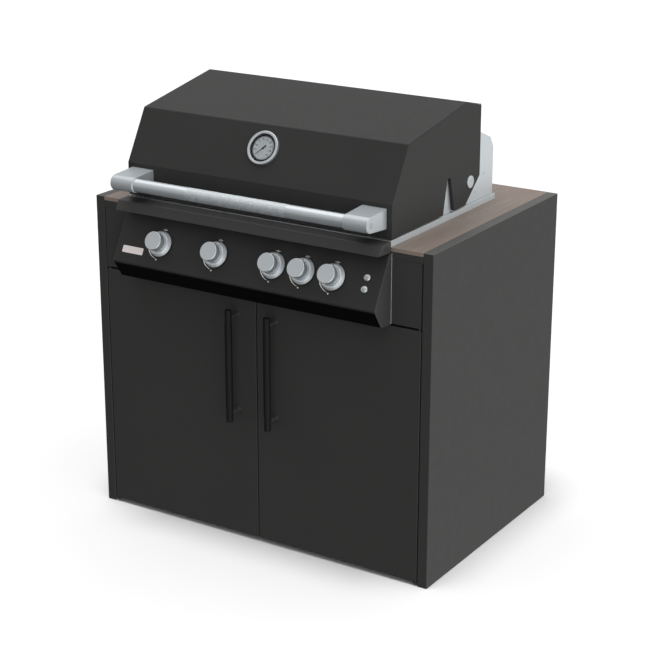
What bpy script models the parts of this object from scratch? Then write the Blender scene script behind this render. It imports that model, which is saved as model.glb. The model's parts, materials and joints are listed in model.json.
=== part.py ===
"""Gas barbecue grill head built into an outdoor-kitchen base cabinet.

Metres, +Z up. X runs along the front, Y from the front towards the back.
Shapes are drawn with y = 0 on the cabinet's front face. FRONT_Y then moves
the whole object, so that its origin is the middle of its footprint.
"""

import math

import bmesh
import bpy
from mathutils import Matrix, Vector

# ---------------------------------------------------------------- dimensions
GAP = 0.0003                 # clearance between pieces that touch

CABINET_WIDTH = 1.048
CABINET_DEPTH = 0.692
CABINET_HEIGHT = 0.900
SIDE_BOARD = 0.028
BOARD = 0.018                # doors, floor board, fillers and rails
BACK_BOARD = 0.012
WORKTOP = 0.010
INNER_X = CABINET_WIDTH / 2 - SIDE_BOARD
FLOOR_Z = (0.0300, 0.0480)
FLOOR_FRONT = 0.0202         # clears the doors' back corners as they turn
TAB_Z = (0.0060, 0.0110)     # the floor board's tabs, which carry the doors
TAB_HALF = 0.0050
TAB_BACK = 0.0280
VENT_SIZE = (0.160, 0.008)
VENT_X = 0.250
VENT_ROWS = (0.100, 0.120, 0.140, 0.160)

DOOR_Z = (0.0120, 0.6975)
DOOR_SIDE_GAP = 0.0029
DOOR_FREE_EDGE = 0.0015      # from the middle plane to a door's free edge
DOOR_AXIS = (INNER_X - 0.0089, 0.0040)
PIVOT_RADIUS = 0.0025
PIVOT_HOLE = 0.0030
PIVOT_REACH = (0.0050, 0.0160)         # of a door's pins, below and above it

PULL_AXIS = (0.0606, -0.0412)          # x and y of the doors' bar handles
PULL_Z = (0.352, 0.666)
PULL_SLEEVE_Z = (0.395, 0.624)         # the thicker middle stretch
PULL_RADII = (0.0090, 0.0098)
PULL_POSTS = (0.376, 0.644)
POST_RADIUS = 0.0055

FILLER_X = 0.404
FILLER_Z = (0.7037, 0.8720)
RAIL_BOTTOM = 0.8725
OPENING_X = 0.402            # half-width of the cut-out in the worktop
OPENING_BACK = 0.550

PLATE_X = 0.3965             # outer face of the grill's side plates
PLATE_GAUGE = 0.002
SHEET = 0.0015
CUT = 0.010                  # length of the cutters for holes in sheet
BOX_FRONT, BOX_BACK, BOX_BOTTOM = 0.0500, 0.5485, 0.700
FRONT_WALL_TOP = 0.9143
PLATE_TOP = ((0.5485, 1.0450), (0.5300, 1.0735), (0.4770, 1.0955),
             (0.3000, 1.0955), (0.1500, 1.0400), (0.0500, 0.9800))
REAR_FOLDS = ((0.5485, 1.0440), (0.5310, 1.0715), (0.5050, 1.0830))
TRIM_X = 0.405
TRIM_Y = (-0.0050, 0.0100, 0.5490)     # front strip, then the sides' back end
TRIM_Z = (0.9003, 0.9165)

LID_X = 0.407
LID_PROFILE = ((-0.0011, 0.9204), (-0.0022, 1.0075), (0.0743, 1.1435),
               (0.3727, 1.1962), (0.4535, 1.1767))
LID_RETURN = 0.008           # depth of the folded rim round each lid side
LID_BACK_LOW = (0.4540, 0.9866)
LID_BOTTOM_BACK = (0.3775, 0.9204)
NOTCH = ((0.3160, 0.9204), (0.2945, 1.0125), (0.2780, 1.0125), (0.2580, 0.9204))
HINGE = (0.3980, 0.9800)     # y and z of the lid's hinge axis
HINGE_PIN = 0.0060
HINGE_HOLE = 0.0070
HINGE_DISC = (0.0170, 0.0040)          # radius and thickness

GRIP_AXIS = (-0.0768, 0.9718)          # y and z of the lid handle's bar
GRIP_RADIUS = 0.0176
GRIP_WALL = 0.002
CHEEK_RADIUS = 0.0205        # round front of the handle's end blocks
CHEEK_X = (0.322, 0.393)
CHEEK_BACK = (-0.0026, 0.9449, 0.9970)

PANEL_X = 0.4075
PANEL_HIGH = (-0.0182, 0.8709)         # a point high on the sloping face
PANEL_EDGE = (-0.0799, 0.7541)         # the sloping face's lower edge
PANEL_UNDER = (-0.0464, 0.7044)
PANEL_BACK = -0.0006
PANEL_Z = (0.6995, 0.8860)
BAND_PROFILE = ((-0.0054, 0.9164), (-0.0484, 0.9153), (-0.0620, 0.8914), (-0.0054, 0.8875))

BURNERS = 4
BURNER_PITCH = 0.1788
BURNER_X = -BURNER_PITCH * (BURNERS - 1) / 2          # the first burner and its knob
BURNER_Z = 0.800
BURNER_Y = (0.006, 0.500)
BURNER_RADIUS = 0.014
BURNER_WALL = 0.0012
BURNER_HOLE = 0.0155
REAR_BURNER_X = 0.280
REAR_BURNER_Y = 0.5200       # its front face
REAR_BURNER_Z = (0.940, 1.020)
KNOB_STEPS = (0, 1, 2, 2.5, 3)         # knob positions in burner pitches
KNOB_DROP = 0.0652           # below PANEL_HIGH, along the sloping face
KNOB_HEIGHT = 0.041
KNOB_RADII = (0.0252, 0.0322, 0.0346)   # of the grip, the step and the skirt
KNOB_LIFT = 0.0040           # clearance under the skirt, more than the push
STEM_RADIUS = 0.0030
STEM_HOLE = 0.0060           # radius of the stems' holes in the panel
STEM_BORE = 0.0265           # depth of a stem's bore behind the panel
BUTTON_X = 0.3623
BUTTON_DROPS = (0.0500, 0.0804)
BUTTON_RADIUS = 0.0093
VALVE_Z = (-0.0450, -0.0018)           # along a knob's axis, from the panel
VALVE_RADIUS = 0.011
MANIFOLD_DEPTH = 0.0485
MANIFOLD_RADIUS = 0.008
ELBOW = 0.022                # side of the square elbow blocks
INLET = (0.340, 0.034, 0.672)

TAMER_Y = (0.056, 0.541)
TAMER_Z = (0.845, 0.868)
TAMER_HALF = 0.070
GRATE_X = (0.0015, 0.3925)             # from the middle plane, both halves
GRATE_Y = (0.054, 0.512)
GRATE_Z = (0.893, 0.905)
GRATE_SLOTS, GRATE_RIB, GRATE_BORDER = 18, 0.009, 0.012
RACK_X = 0.3935
RACK_Y = (0.300, 0.430)
RACK_Z = (1.030, 1.034)
RACK_SLOTS, RACK_RIB, RACK_BORDER = 22, 0.005, 0.006

DIAL_RISE = 0.0920           # thermometer's centre above the lid's fold
DIAL_NEEDLE = 0.026
NEEDLE_TURN = 225            # degrees from X, where the needle rests
GAUGE_HOLE = 0.0075

TRAY_X = 0.150
TRAY_Y = (0.130, 0.490)
TRAY_Z = (0.6673, 0.6990)

ROUND = 24                   # sides of large round pieces
SMALL_ROUND = 12             # sides of pins, stems and tubes

FRONT_Y = -(CABINET_DEPTH + GRIP_AXIS[0] - CHEEK_RADIUS) / 2


# ----------------------------------------------------------- scene and looks
def empty_scene():
    for item in list(bpy.data.objects):
        bpy.data.objects.remove(item, do_unlink=True)


def collection(name):
    group = bpy.data.collections.new(name)
    bpy.context.scene.collection.children.link(group)
    return group


def look(name, colour, roughness, metallic):
    """A plain Principled material."""
    item = bpy.data.materials.new(name)
    item.use_nodes = True
    shader = item.node_tree.nodes["Principled BSDF"]
    shader.inputs["Base Color"].default_value = (*colour, 1.0)
    shader.inputs["Roughness"].default_value = roughness
    shader.inputs["Metallic"].default_value = metallic
    return item


empty_scene()
PARTS = collection("gas_barbecue_grill")
CUTTERS = collection("cutters")
LAMINATE = look("anthracite_board", (0.030, 0.030, 0.029), 0.45, 0.0)
WOOD = look("wood_worktop", (0.260, 0.215, 0.180), 0.55, 0.0)
ENAMEL = look("black_enamel", (0.030, 0.030, 0.029), 0.35, 0.0)
BLACK = look("black_handle", (0.015, 0.015, 0.015), 0.35, 0.5)
STEEL = look("brushed_steel", (0.58, 0.60, 0.62), 0.30, 1.0)
SATIN = look("satin_metal", (0.60, 0.62, 0.64), 0.25, 1.0)
IRON = look("cast_iron", (0.020, 0.020, 0.020), 0.60, 0.6)
BRASS = look("brass", (0.60, 0.44, 0.18), 0.35, 1.0)
DIAL = look("dial", (0.42, 0.44, 0.46), 0.40, 0.6)
INK = look("dark_mark", (0.010, 0.010, 0.010), 0.50, 0.0)
GLASS = look("glass", (0.90, 0.92, 0.92), 0.05, 0.0)


# ------------------------------------------------------------------- helpers
def place(name, data, material, parent=None):
    """Link a mesh or curve as a piece that stands in the cabinet's axes."""
    if not data.materials:
        data.materials.append(material)
    item = bpy.data.objects.new(name, data)
    PARTS.objects.link(item)
    item.parent = parent or FRAME
    return item


def axis_empty(name, location, tilt=0.0, parent=None):
    """An empty on an axis or surface, tipped about X by `tilt`."""
    item = bpy.data.objects.new(name, None)
    item.empty_display_size = 0.03
    PARTS.objects.link(item)
    item.parent = parent
    item.location = location
    item.rotation_euler = (tilt, 0.0, 0.0)
    return item


FRAME = axis_empty("cabinet_front", (0.0, FRONT_Y, 0.0))


def soften(item, width):
    """Rounded edges on the sharp corners of a board or sheet."""
    edges = item.modifiers.new("rounded edges", "BEVEL")
    edges.width = width
    edges.segments = 1
    edges.limit_method = "ANGLE"
    edges.angle_limit = math.radians(50)


def thicken(item, gauge, side=-1.0):
    wall = item.modifiers.new("gauge", "SOLIDIFY")
    wall.thickness = gauge
    wall.offset = side
    wall.use_even_offset = True


def block(name, material, low, high, edge=0.0, parent=None, pivot=None):
    """A box between two corners. Its origin is its centre, or `pivot`."""
    low, high = Vector(low), Vector(high)
    middle = (low + high) / 2
    origin = Vector(pivot) if pivot else middle
    mesh = bpy.data.meshes.new(name)
    bm = bmesh.new()
    bmesh.ops.create_cube(bm, size=1.0)
    bmesh.ops.scale(bm, vec=high - low, verts=bm.verts)
    bmesh.ops.translate(bm, vec=middle - origin, verts=bm.verts)
    bm.to_mesh(mesh)
    bm.free()
    item = place(name, mesh, material, parent)
    item.location = origin
    if edge:
        soften(item, edge)
    return item


def block_pair(name, material, low, high, edge=0.0):
    """A board on each side. `low` and `high` are the right one's corners."""
    right = block(name + "_right", material, low, high, edge)
    left = place(name + "_left", right.data, material)
    left.location = (-right.location.x, right.location.y, right.location.z)
    if edge:
        soften(left, edge)
    return left, right


def turned(name, material, profile, steps=ROUND, parent=None, loop=False):
    """A piece turned round its own Z. `profile` is (radius, z), top to bottom
    on the outer side. A `loop` joins its last point to its first."""
    mesh = bpy.data.meshes.new(name)
    bm = bmesh.new()
    points = [bm.verts.new((radius, 0.0, z)) for radius, z in profile]
    for upper, lower in zip(points, points[1:] + points[:1] * loop):
        bm.edges.new((upper, lower))
    bm.to_mesh(mesh)
    bm.free()
    item = place(name, mesh, material, parent)
    lathe(item, steps)
    return item


def lathe(item, steps):
    spin = item.modifiers.new("turned", "SCREW")
    spin.steps = steps
    spin.render_steps = steps
    spin.use_merge_vertices = True
    spin.merge_threshold = 0.00001
    spin.use_smooth_shade = True


def rod_profile(radius, top, bottom):
    return ((0.0, top), (radius, top), (radius, bottom), (0.0, bottom))


def arc(centre, radius, start, end, count):
    """Points on an arc, with the angles in degrees."""
    step = math.radians(end - start) / count
    angles = [math.radians(start) + step * k for k in range(count + 1)]
    return [(centre[0] + radius * math.cos(a), centre[1] + radius * math.sin(a)) for a in angles]


def circle(centre, radius, count=16):
    return arc(centre, radius, 0, 360, count)[:-1]


def rectangle(low, high):
    return [(low[0], low[1]), (high[0], low[1]), (high[0], high[1]), (low[0], high[1])]


FACING = {"X": (math.pi / 2, 0.0, math.pi / 2),   # outline drawn in (y, z)
          "Y": (math.pi / 2, 0.0, 0.0),           # outline drawn in (x, z)
          "Z": (0.0, 0.0, 0.0)}                   # outline drawn in (x, y)


def flat(name, material, outlines, facing, span, parent=None):
    """A flat outline with holes, square to an axis and filling `span` on it."""
    curve = bpy.data.curves.new(name, "CURVE")
    curve.dimensions = "2D"
    curve.fill_mode = "BOTH"
    curve.extrude = (span[1] - span[0]) / 2
    for outline in outlines:
        spline = curve.splines.new("POLY")
        spline.points.add(len(outline) - 1)
        for point, (u, v) in zip(spline.points, outline):
            point.co = (u, v, 0.0, 1.0)
        spline.use_cyclic_u = True
    item = place(name, curve, material, parent)
    item.rotation_euler = FACING[facing]
    item.location["XYZ".index(facing)] = (span[0] + span[1]) / 2
    return item


def folded_sheet(name, material, profile, half_length, side):
    """Sheet metal folded along X through `profile`, a list of (y, z)."""
    mesh = bpy.data.meshes.new(name)
    bm = bmesh.new()
    points = [bm.verts.new((-half_length, y, z)) for y, z in profile]
    edges = [bm.edges.new(pair) for pair in zip(points, points[1:])]
    grown = bmesh.ops.extrude_edge_only(bm, edges=edges)["geom"]
    far = [part for part in grown if isinstance(part, bmesh.types.BMVert)]
    bmesh.ops.translate(bm, vec=(2 * half_length, 0.0, 0.0), verts=far)
    bm.to_mesh(mesh)
    bm.free()
    item = place(name, mesh, material)
    thicken(item, SHEET, side)
    return item


def pan(name, material, outline, span, is_open, gauge=SHEET):
    """Folded sheet metal with an open mouth: the prism of a (y, z) outline
    over an x span, less the faces whose outward normal `is_open` picks."""
    mesh = bpy.data.meshes.new(name)
    bm = bmesh.new()
    points = [bm.verts.new((span[0], y, z)) for y, z in outline]
    edges = [bm.edges.new(pair) for pair in zip(points, points[1:] + points[:1])]
    bmesh.ops.contextual_create(bm, geom=edges)
    grown = bmesh.ops.extrude_face_region(bm, geom=list(bm.faces))["geom"]
    far = [part for part in grown if isinstance(part, bmesh.types.BMVert)]
    bmesh.ops.translate(bm, vec=(span[1] - span[0], 0.0, 0.0), verts=far)
    bmesh.ops.recalc_face_normals(bm, faces=bm.faces)
    mouth = [face for face in bm.faces if is_open(face.normal)]
    bmesh.ops.delete(bm, geom=mouth, context="FACES")
    bm.to_mesh(mesh)
    bm.free()
    item = place(name, mesh, material)
    thicken(item, gauge)
    return item


def bar(radius, length, matrix, sides=SMALL_ROUND):
    """Adds a round bar, centred on a matrix with its length along that Z."""
    return lambda bm: bmesh.ops.create_cone(bm, cap_ends=True, segments=sides, radius1=radius,
                                            radius2=radius, depth=length, matrix=matrix)


def cell(low, high):
    """Adds a box between two corners."""
    low, high = Vector(low), Vector(high)
    matrix = Matrix.Translation((low + high) / 2) @ Matrix.Diagonal((*(high - low), 1.0))
    return lambda bm: bmesh.ops.create_cube(bm, size=1.0, matrix=matrix)


def mesh_of(name, shapes):
    mesh = bpy.data.meshes.new(name)
    bm = bmesh.new()
    for add in shapes:
        add(bm)
    bm.to_mesh(mesh)
    bm.free()
    return mesh


def boolean(target, name, operation, shapes):
    """Cut or join bars and cells that stand in the cabinet's axes."""
    helper = bpy.data.objects.new(name, mesh_of(name, shapes))
    CUTTERS.objects.link(helper)
    helper.parent = FRAME
    helper.hide_render = True
    helper.display_type = "WIRE"
    joint = target.modifiers.new(name, "BOOLEAN")
    joint.operation = operation
    joint.solver = "EXACT"
    joint.object = helper


def inset(points, distance):
    """An open chain of points moved `distance` to its right-hand side."""
    chain = [Vector(point) for point in points]
    runs = [(after - before).normalized() for before, after in zip(chain, chain[1:])]
    moved = []
    for k, point in enumerate(chain):
        behind, ahead = runs[max(k - 1, 0)], runs[min(k, len(runs) - 1)]
        middle = (behind + ahead).normalized()
        reach = distance / middle.dot(ahead)
        moved.append((point.x + middle.y * reach, point.y - middle.x * reach))
    return moved


def axis_matrix(origin, axis="Z", tilt=0.0):
    """A matrix at `origin` whose Z lies along an axis, or is tipped about X."""
    turn = {"X": (math.pi / 2, "Y"), "Y": (math.pi / 2, "X"), "Z": (tilt, "X")}[axis]
    return Matrix.Translation(origin) @ Matrix.Rotation(turn[0], 4, turn[1])


class Slope:
    """A flat surface that runs along X, from `top` down to `bottom` in (y, z)."""

    def __init__(self, top, bottom):
        self.top = Vector(top)
        self.down = (Vector(bottom) - self.top).normalized()
        self.tilt = math.atan2(-self.down.y, -self.down.x)

    def point(self, x, drop, depth=0.0):
        """The point `drop` below the top and `depth` behind the surface."""
        spot = self.top + self.down * drop
        return Vector((x, spot.x - self.down.y * depth, spot.y + self.down.x * depth))

    def at_height(self, z):
        return (self.top.x + self.down.x * (z - self.top.y) / self.down.y, z)


PANEL = Slope(PANEL_HIGH, PANEL_EDGE)
LID_SLOPE = Slope(LID_PROFILE[2], LID_PROFILE[1])


# ------------------------------------------------------------------- cabinet
def build_cabinet():
    depth, height = CABINET_DEPTH, CABINET_HEIGHT
    inside = INNER_X - GAP
    under_top = height - WORKTOP - GAP
    block_pair("side_panel", LAMINATE, (INNER_X, 0.0, 0.0), (CABINET_WIDTH / 2, depth, height), 0.001)
    block_pair("worktop", WOOD, (OPENING_X, 0.0, height - WORKTOP), (inside, depth, height))
    block("worktop_back", WOOD, (GAP - OPENING_X, OPENING_BACK, height - WORKTOP),
          (OPENING_X - GAP, depth, height))
    build_floor(inside)
    block_pair("front_rail", LAMINATE, (FILLER_X, 0.0, RAIL_BOTTOM), (inside, BOARD, under_top))
    fillers = block_pair("filler_panel", LAMINATE, (FILLER_X, 0.0, FILLER_Z[0]),
                         (INNER_X - DOOR_SIDE_GAP, BOARD, FILLER_Z[1]))
    for filler, side in zip(fillers, (-1, 1)):
        socket = axis_matrix((side * DOOR_AXIS[0], DOOR_AXIS[1], FILLER_Z[0]))
        boolean(filler, filler.name + "_socket", "DIFFERENCE", [bar(PIVOT_HOLE, 0.024, socket)])
    half = Vector(VENT_SIZE) / 2
    vents = [rectangle(Vector((x, z)) - half, Vector((x, z)) + half)
             for x in (-VENT_X, VENT_X) for z in VENT_ROWS]
    wall = rectangle((-inside, FLOOR_Z[0]), (inside, under_top))
    flat("back_panel", LAMINATE, [wall] + vents, "Y", (depth - BACK_BOARD, depth))


def build_floor(inside):
    """The floor board, with a tab under each door's outer corner."""
    back = CABINET_DEPTH - BACK_BOARD - GAP
    floor = block("floor_board", LAMINATE, (-inside, FLOOR_FRONT, FLOOR_Z[0]),
                  (inside, back, FLOOR_Z[1]))
    corners = [Vector((side * DOOR_AXIS[0], 0.0, 0.0)) for side in (-1, 1)]
    web = ((-TAB_HALF, FLOOR_FRONT + GAP, TAB_Z[0] + 0.001), (TAB_HALF, TAB_BACK, FLOOR_Z[0] + 0.004))
    tab = ((-TAB_HALF - 0.001, 0.0, TAB_Z[0]), (TAB_HALF + 0.001, TAB_BACK + 0.001, TAB_Z[1]))
    for word, (low, high) in (("webs", web), ("tabs", tab)):
        cells = [cell(spot + Vector(low), spot + Vector(high)) for spot in corners]
        boolean(floor, word, "UNION", cells)
    sockets = [axis_matrix((spot.x, DOOR_AXIS[1], TAB_Z[0])) for spot in corners]
    boolean(floor, "tab_sockets", "DIFFERENCE", [bar(PIVOT_HOLE, 0.020, socket) for socket in sockets])


def build_door(name, side):
    """A door with its pivot pins. `side` is 1 on the right, -1 on the left."""
    edges = sorted((side * DOOR_FREE_EDGE, side * (INNER_X - DOOR_SIDE_GAP)))
    hinge = Vector((side * DOOR_AXIS[0], DOOR_AXIS[1], DOOR_Z[0]))
    door = block("door_" + name, LAMINATE, (edges[0], 0.0, DOOR_Z[0]),
                 (edges[1], BOARD, DOOR_Z[1]), 0.0008, pivot=hinge)
    below, above = PIVOT_REACH
    ends = ((DOOR_Z[0] - below, DOOR_Z[0] + below), (DOOR_Z[1] - above, DOOR_Z[1] + above))
    for word, (low, high) in zip(("lower", "upper"), ends):
        pin = axis_matrix((hinge.x, hinge.y, (low + high) / 2))
        boolean(door, f"{word}_pin_{name}", "UNION", [bar(PIVOT_RADIUS, high - low, pin)])
    build_pull(name, side, door, hinge)


def build_pull(name, side, door, hinge):
    """A bar handle with a thicker sleeve and two posts."""
    thin, thick = PULL_RADII
    profile = ((0.0, PULL_Z[1]), (thin, PULL_Z[1]), (thin, PULL_SLEEVE_Z[1]),
               (thick, PULL_SLEEVE_Z[1]), (thick, PULL_SLEEVE_Z[0]),
               (thin, PULL_SLEEVE_Z[0]), (thin, PULL_Z[0]), (0.0, PULL_Z[0]))
    pull = turned("door_handle_" + name, BLACK, profile, 16, parent=door)
    pull.location = Vector((side * PULL_AXIS[0], PULL_AXIS[1], 0.0)) - hinge
    length = -PULL_AXIS[1] - GAP
    middles = [(side * PULL_AXIS[0], PULL_AXIS[1] + length / 2, z) for z in PULL_POSTS]
    posts = [bar(POST_RADIUS, length, axis_matrix(middle, "Y")) for middle in middles]
    boolean(pull, "posts_" + name, "UNION", posts)


# ------------------------------------------------------------------- firebox
def build_side_plates():
    outline = [(BOX_FRONT, BOX_BOTTOM), (BOX_BACK, BOX_BOTTOM), *PLATE_TOP]
    hole = circle(HINGE, HINGE_HOLE)
    for name, side in (("left", -1), ("right", 1)):
        span = sorted((side * PLATE_X, side * (PLATE_X - PLATE_GAUGE)))
        flat("side_plate_" + name, STEEL, [outline, hole], "X", span)


def build_firebox():
    inside = PLATE_X - PLATE_GAUGE - GAP
    rear = [(BOX_BACK, BOX_BOTTOM), *REAR_FOLDS]
    folded_sheet("rear_wall", STEEL, rear, inside, 1.0)
    burner_holes = [circle((x, BURNER_Z), BURNER_HOLE) for x in burner_places()]
    front = rectangle((-inside, BOX_BOTTOM), (inside, FRONT_WALL_TOP))
    flat("front_wall", STEEL, [front, *burner_holes], "Y", (BOX_FRONT, BOX_FRONT + SHEET))
    depth = (BOX_FRONT + SHEET + GAP, BOX_BACK - SHEET - GAP)
    sheet = [(0.0450, 0.7150), (0.1535, 0.7290), (0.1535, 0.6670), (0.1380, 0.6670), (0.1380, 0.6655),
             (0.1550, 0.6655), (0.1550, 0.7292), (inside, 0.7600), (inside, 0.7615), (0.0450, 0.7165)]
    for name, side in (("left", -1), ("right", 1)):
        outline = [(side * x, z) for x, z in sheet]
        flat("drip_sheet_" + name, STEEL, [outline], "Y", depth)


def build_grease_tray():
    outline = rectangle((TRAY_Y[0], TRAY_Z[0]), (TRAY_Y[1], TRAY_Z[1]))
    pan("grease_tray", STEEL, outline, (-TRAY_X, TRAY_X), lambda normal: normal.z > 0.9)


def burner_places():
    return [BURNER_X + k * BURNER_PITCH for k in range(BURNERS)]


def build_burners():
    length, bore = BURNER_Y[1] - BURNER_Y[0], BURNER_RADIUS - BURNER_WALL
    profile = ((0.0, length), (BURNER_RADIUS, length), (BURNER_RADIUS, 0.0), (bore, 0.0),
               (bore, length - BURNER_WALL), (0.0, length - BURNER_WALL))
    for number, x in enumerate(burner_places(), 1):
        burner = turned(f"burner_{number}", STEEL, profile, SMALL_ROUND)
        burner.location = (x, BURNER_Y[0], BURNER_Z)
        burner.rotation_euler = (-math.pi / 2, 0.0, 0.0)
    block("rear_burner", STEEL, (-REAR_BURNER_X, REAR_BURNER_Y, REAR_BURNER_Z[0]),
          (REAR_BURNER_X, BOX_BACK - SHEET - GAP, REAR_BURNER_Z[1]))


def build_flame_tamers():
    """Two sheets folded into a W, each with a ridge over two burners."""
    low, high = TAMER_Z
    for name, first in (("left", 0), ("right", 2)):
        near, far = burner_places()[first:first + 2]
        ridge = [(near - TAMER_HALF, low), (near, high), ((near + far) / 2, low),
                 (far, high), (far + TAMER_HALF, low)]
        under = [(x, z - SHEET) for x, z in reversed(ridge)]
        flat("flame_tamer_" + name, STEEL, [ridge + under], "Y", TAMER_Y)


def slots(low, high, count, rib, border):
    """`count` equal rectangular holes across a rectangle, with ribs between."""
    first, last = low[0] + border, high[0] - border
    pitch = (last - first + rib) / count
    starts = [first + k * pitch for k in range(count)]
    return [rectangle((x, low[1] + border), (x + pitch - rib, high[1] - border)) for x in starts]


def build_grates():
    inner, outer = GRATE_X
    for name, span in (("left", (-outer, -inner)), ("right", (inner, outer))):
        low, high = (span[0], GRATE_Y[0]), (span[1], GRATE_Y[1])
        holes = slots(low, high, GRATE_SLOTS, GRATE_RIB, GRATE_BORDER)
        flat("grate_" + name, IRON, [rectangle(low, high), *holes], "Z", GRATE_Z)
    low, high = (-RACK_X, RACK_Y[0]), (RACK_X, RACK_Y[1])
    holes = slots(low, high, RACK_SLOTS, RACK_RIB, RACK_BORDER)
    flat("warming_rack", STEEL, [rectangle(low, high), *holes], "Z", RACK_Z)


def build_trim():
    inner = PLATE_X + GAP
    front, lip, back = TRIM_Y
    outline = [(-TRIM_X, front), (TRIM_X, front), (TRIM_X, back), (inner, back),
               (inner, lip), (-inner, lip), (-inner, back), (-TRIM_X, back)]
    flat("trim_frame", STEEL, [outline], "Z", TRIM_Z)


# ------------------------------------------------------------- control panel
def build_panel():
    outline = [(PANEL_BACK, PANEL_Z[1]), PANEL.at_height(PANEL_Z[1]), PANEL_EDGE,
               PANEL_UNDER, (PANEL_BACK, PANEL_Z[0])]
    width = (-PANEL_X, PANEL_X)
    panel = pan("control_panel", ENAMEL, outline, width, lambda normal: normal.y > 0.9 or normal.z > 0.9)
    stems = [bar(STEM_HOLE, CUT, spot) for spot in knob_axes()]
    boolean(panel, "stem_holes", "DIFFERENCE", stems)
    spots = [axis_matrix(PANEL.point(BUTTON_X, drop), tilt=PANEL.tilt) for drop in BUTTON_DROPS]
    buttons = [bar(BUTTON_RADIUS + 2 * GAP, CUT, spot, ROUND) for spot in spots]
    boolean(panel, "button_holes", "DIFFERENCE", buttons)
    pan("panel_band", ENAMEL, BAND_PROFILE, width, lambda normal: normal.y > 0.9)


def knob_places():
    return [BURNER_X + step * BURNER_PITCH for step in KNOB_STEPS]


def knob_axes(depth=0.0):
    """Matrices on the knobs' axes, `depth` behind the panel's face."""
    return [axis_matrix(PANEL.point(x, KNOB_DROP, depth), tilt=PANEL.tilt) for x in knob_places()]


def build_knobs():
    """Five hollow knobs on valve stems, each with its empty on its axis."""
    top, skirt, bottom = KNOB_HEIGHT, 0.0065, KNOB_LIFT
    grip, step, foot = KNOB_RADII
    profile = ((0.0, top), (grip, top), (grip, 0.0130), (step, 0.0130), (step, skirt),
               (foot, skirt), (foot, bottom), (0.0225, bottom), (0.0225, top - 0.0025),
               (0.0065, top - 0.0025), (0.0065, 0.0060), (0.0034, 0.0060), (0.0034, 0.0240), (0.0, 0.0240))
    stem_profile = rod_profile(STEM_RADIUS, 0.0235, -0.0220)
    knob_mesh = stem_mesh = None
    for number, x in enumerate(knob_places(), 1):
        axis = axis_empty(f"knob_axis_{number}", PANEL.point(x, KNOB_DROP), PANEL.tilt, FRAME)
        if knob_mesh is None:
            stem_mesh = turned("valve_stem_1", BRASS, stem_profile, SMALL_ROUND, axis).data
            knob_mesh = turned("knob_1", SATIN, profile, 16, axis).data
        else:
            lathe(place(f"valve_stem_{number}", stem_mesh, BRASS, axis), SMALL_ROUND)
            lathe(place(f"knob_{number}", knob_mesh, SATIN, axis), 16)


def build_buttons():
    profile = ((0.0, 0.0042), (BUTTON_RADIUS - 0.0012, 0.0042), (BUTTON_RADIUS, 0.0030),
               (BUTTON_RADIUS, -0.0100), (0.0, -0.0100))
    for name, drop in zip(("upper", "lower"), BUTTON_DROPS):
        axis = axis_empty("button_axis_" + name, PANEL.point(BUTTON_X, drop), PANEL.tilt, FRAME)
        turned("push_button_" + name, SATIN, profile, ROUND, axis)


def build_gas_line():
    """Manifold with valve bodies and elbow blocks, and the inlet leg."""
    start = PANEL.point(BURNER_X - 0.030, KNOB_DROP, MANIFOLD_DEPTH)
    corner = Vector((INLET[0], start.y, start.z))
    bend = Vector((INLET[0], INLET[1], start.z))
    half = Vector((ELBOW, ELBOW, ELBOW)) / 2
    drop = bend.z - INLET[2]
    rail = bar(MANIFOLD_RADIUS, corner.x - start.x, axis_matrix((start + corner) / 2, "X"))
    cross = bar(MANIFOLD_RADIUS - 0.001, bend.y - corner.y, axis_matrix((corner + bend) / 2, "Y"))
    leg = bar(MANIFOLD_RADIUS, drop, axis_matrix((bend.x, bend.y, bend.z - drop / 2)))
    manifold = place("gas_manifold", mesh_of("gas_manifold", [rail]), BRASS)
    boolean(manifold, "elbows", "UNION", [cell(spot - half, spot + half) for spot in (corner, bend)])
    boolean(manifold, "cross_pipe", "UNION", [cross])
    boolean(manifold, "inlet_leg", "UNION", [leg])
    middle, length = sum(VALVE_Z) / 2, VALVE_Z[1] - VALVE_Z[0]
    valves = [bar(VALVE_RADIUS, length, spot) for spot in knob_axes(-middle)]
    boolean(manifold, "valve_bodies", "UNION", valves)
    bores = [bar(STEM_RADIUS + 2 * GAP, 2 * STEM_BORE, spot) for spot in knob_axes()]
    boolean(manifold, "stem_bores", "DIFFERENCE", bores)


# ----------------------------------------------------------------------- lid
def build_lid_body():
    shell = folded_sheet("lid_shell", ENAMEL, LID_PROFILE, LID_X, -1.0)
    spot = axis_matrix(LID_SLOPE.point(0.0, slope_drop()), tilt=LID_SLOPE.tilt)
    boolean(shell, "gauge_hole", "DIFFERENCE", [bar(GAUGE_HOLE, CUT, spot)])
    side_outline = [*inset(LID_PROFILE, SHEET + GAP), LID_BACK_LOW, LID_BOTTOM_BACK, *NOTCH]
    depth = LID_X - LID_RETURN
    left = pan("lid_side_left", ENAMEL, side_outline, (-LID_X, -depth), lambda normal: normal.x > 0.9)
    right = pan("lid_side_right", ENAMEL, side_outline, (depth, LID_X), lambda normal: normal.x < -0.9)
    for item, side in ((left, -1), (right, 1)):
        spot = axis_matrix((side * LID_X, *HINGE), "X")
        boolean(item, item.name + "_pin_hole", "DIFFERENCE", [bar(HINGE_PIN + 0.0005, CUT, spot)])


def slope_drop():
    """The thermometer's distance below the top of the lid's sloping face."""
    face = (Vector(LID_PROFILE[2]) - Vector(LID_PROFILE[1])).length
    return face - DIAL_RISE


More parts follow.
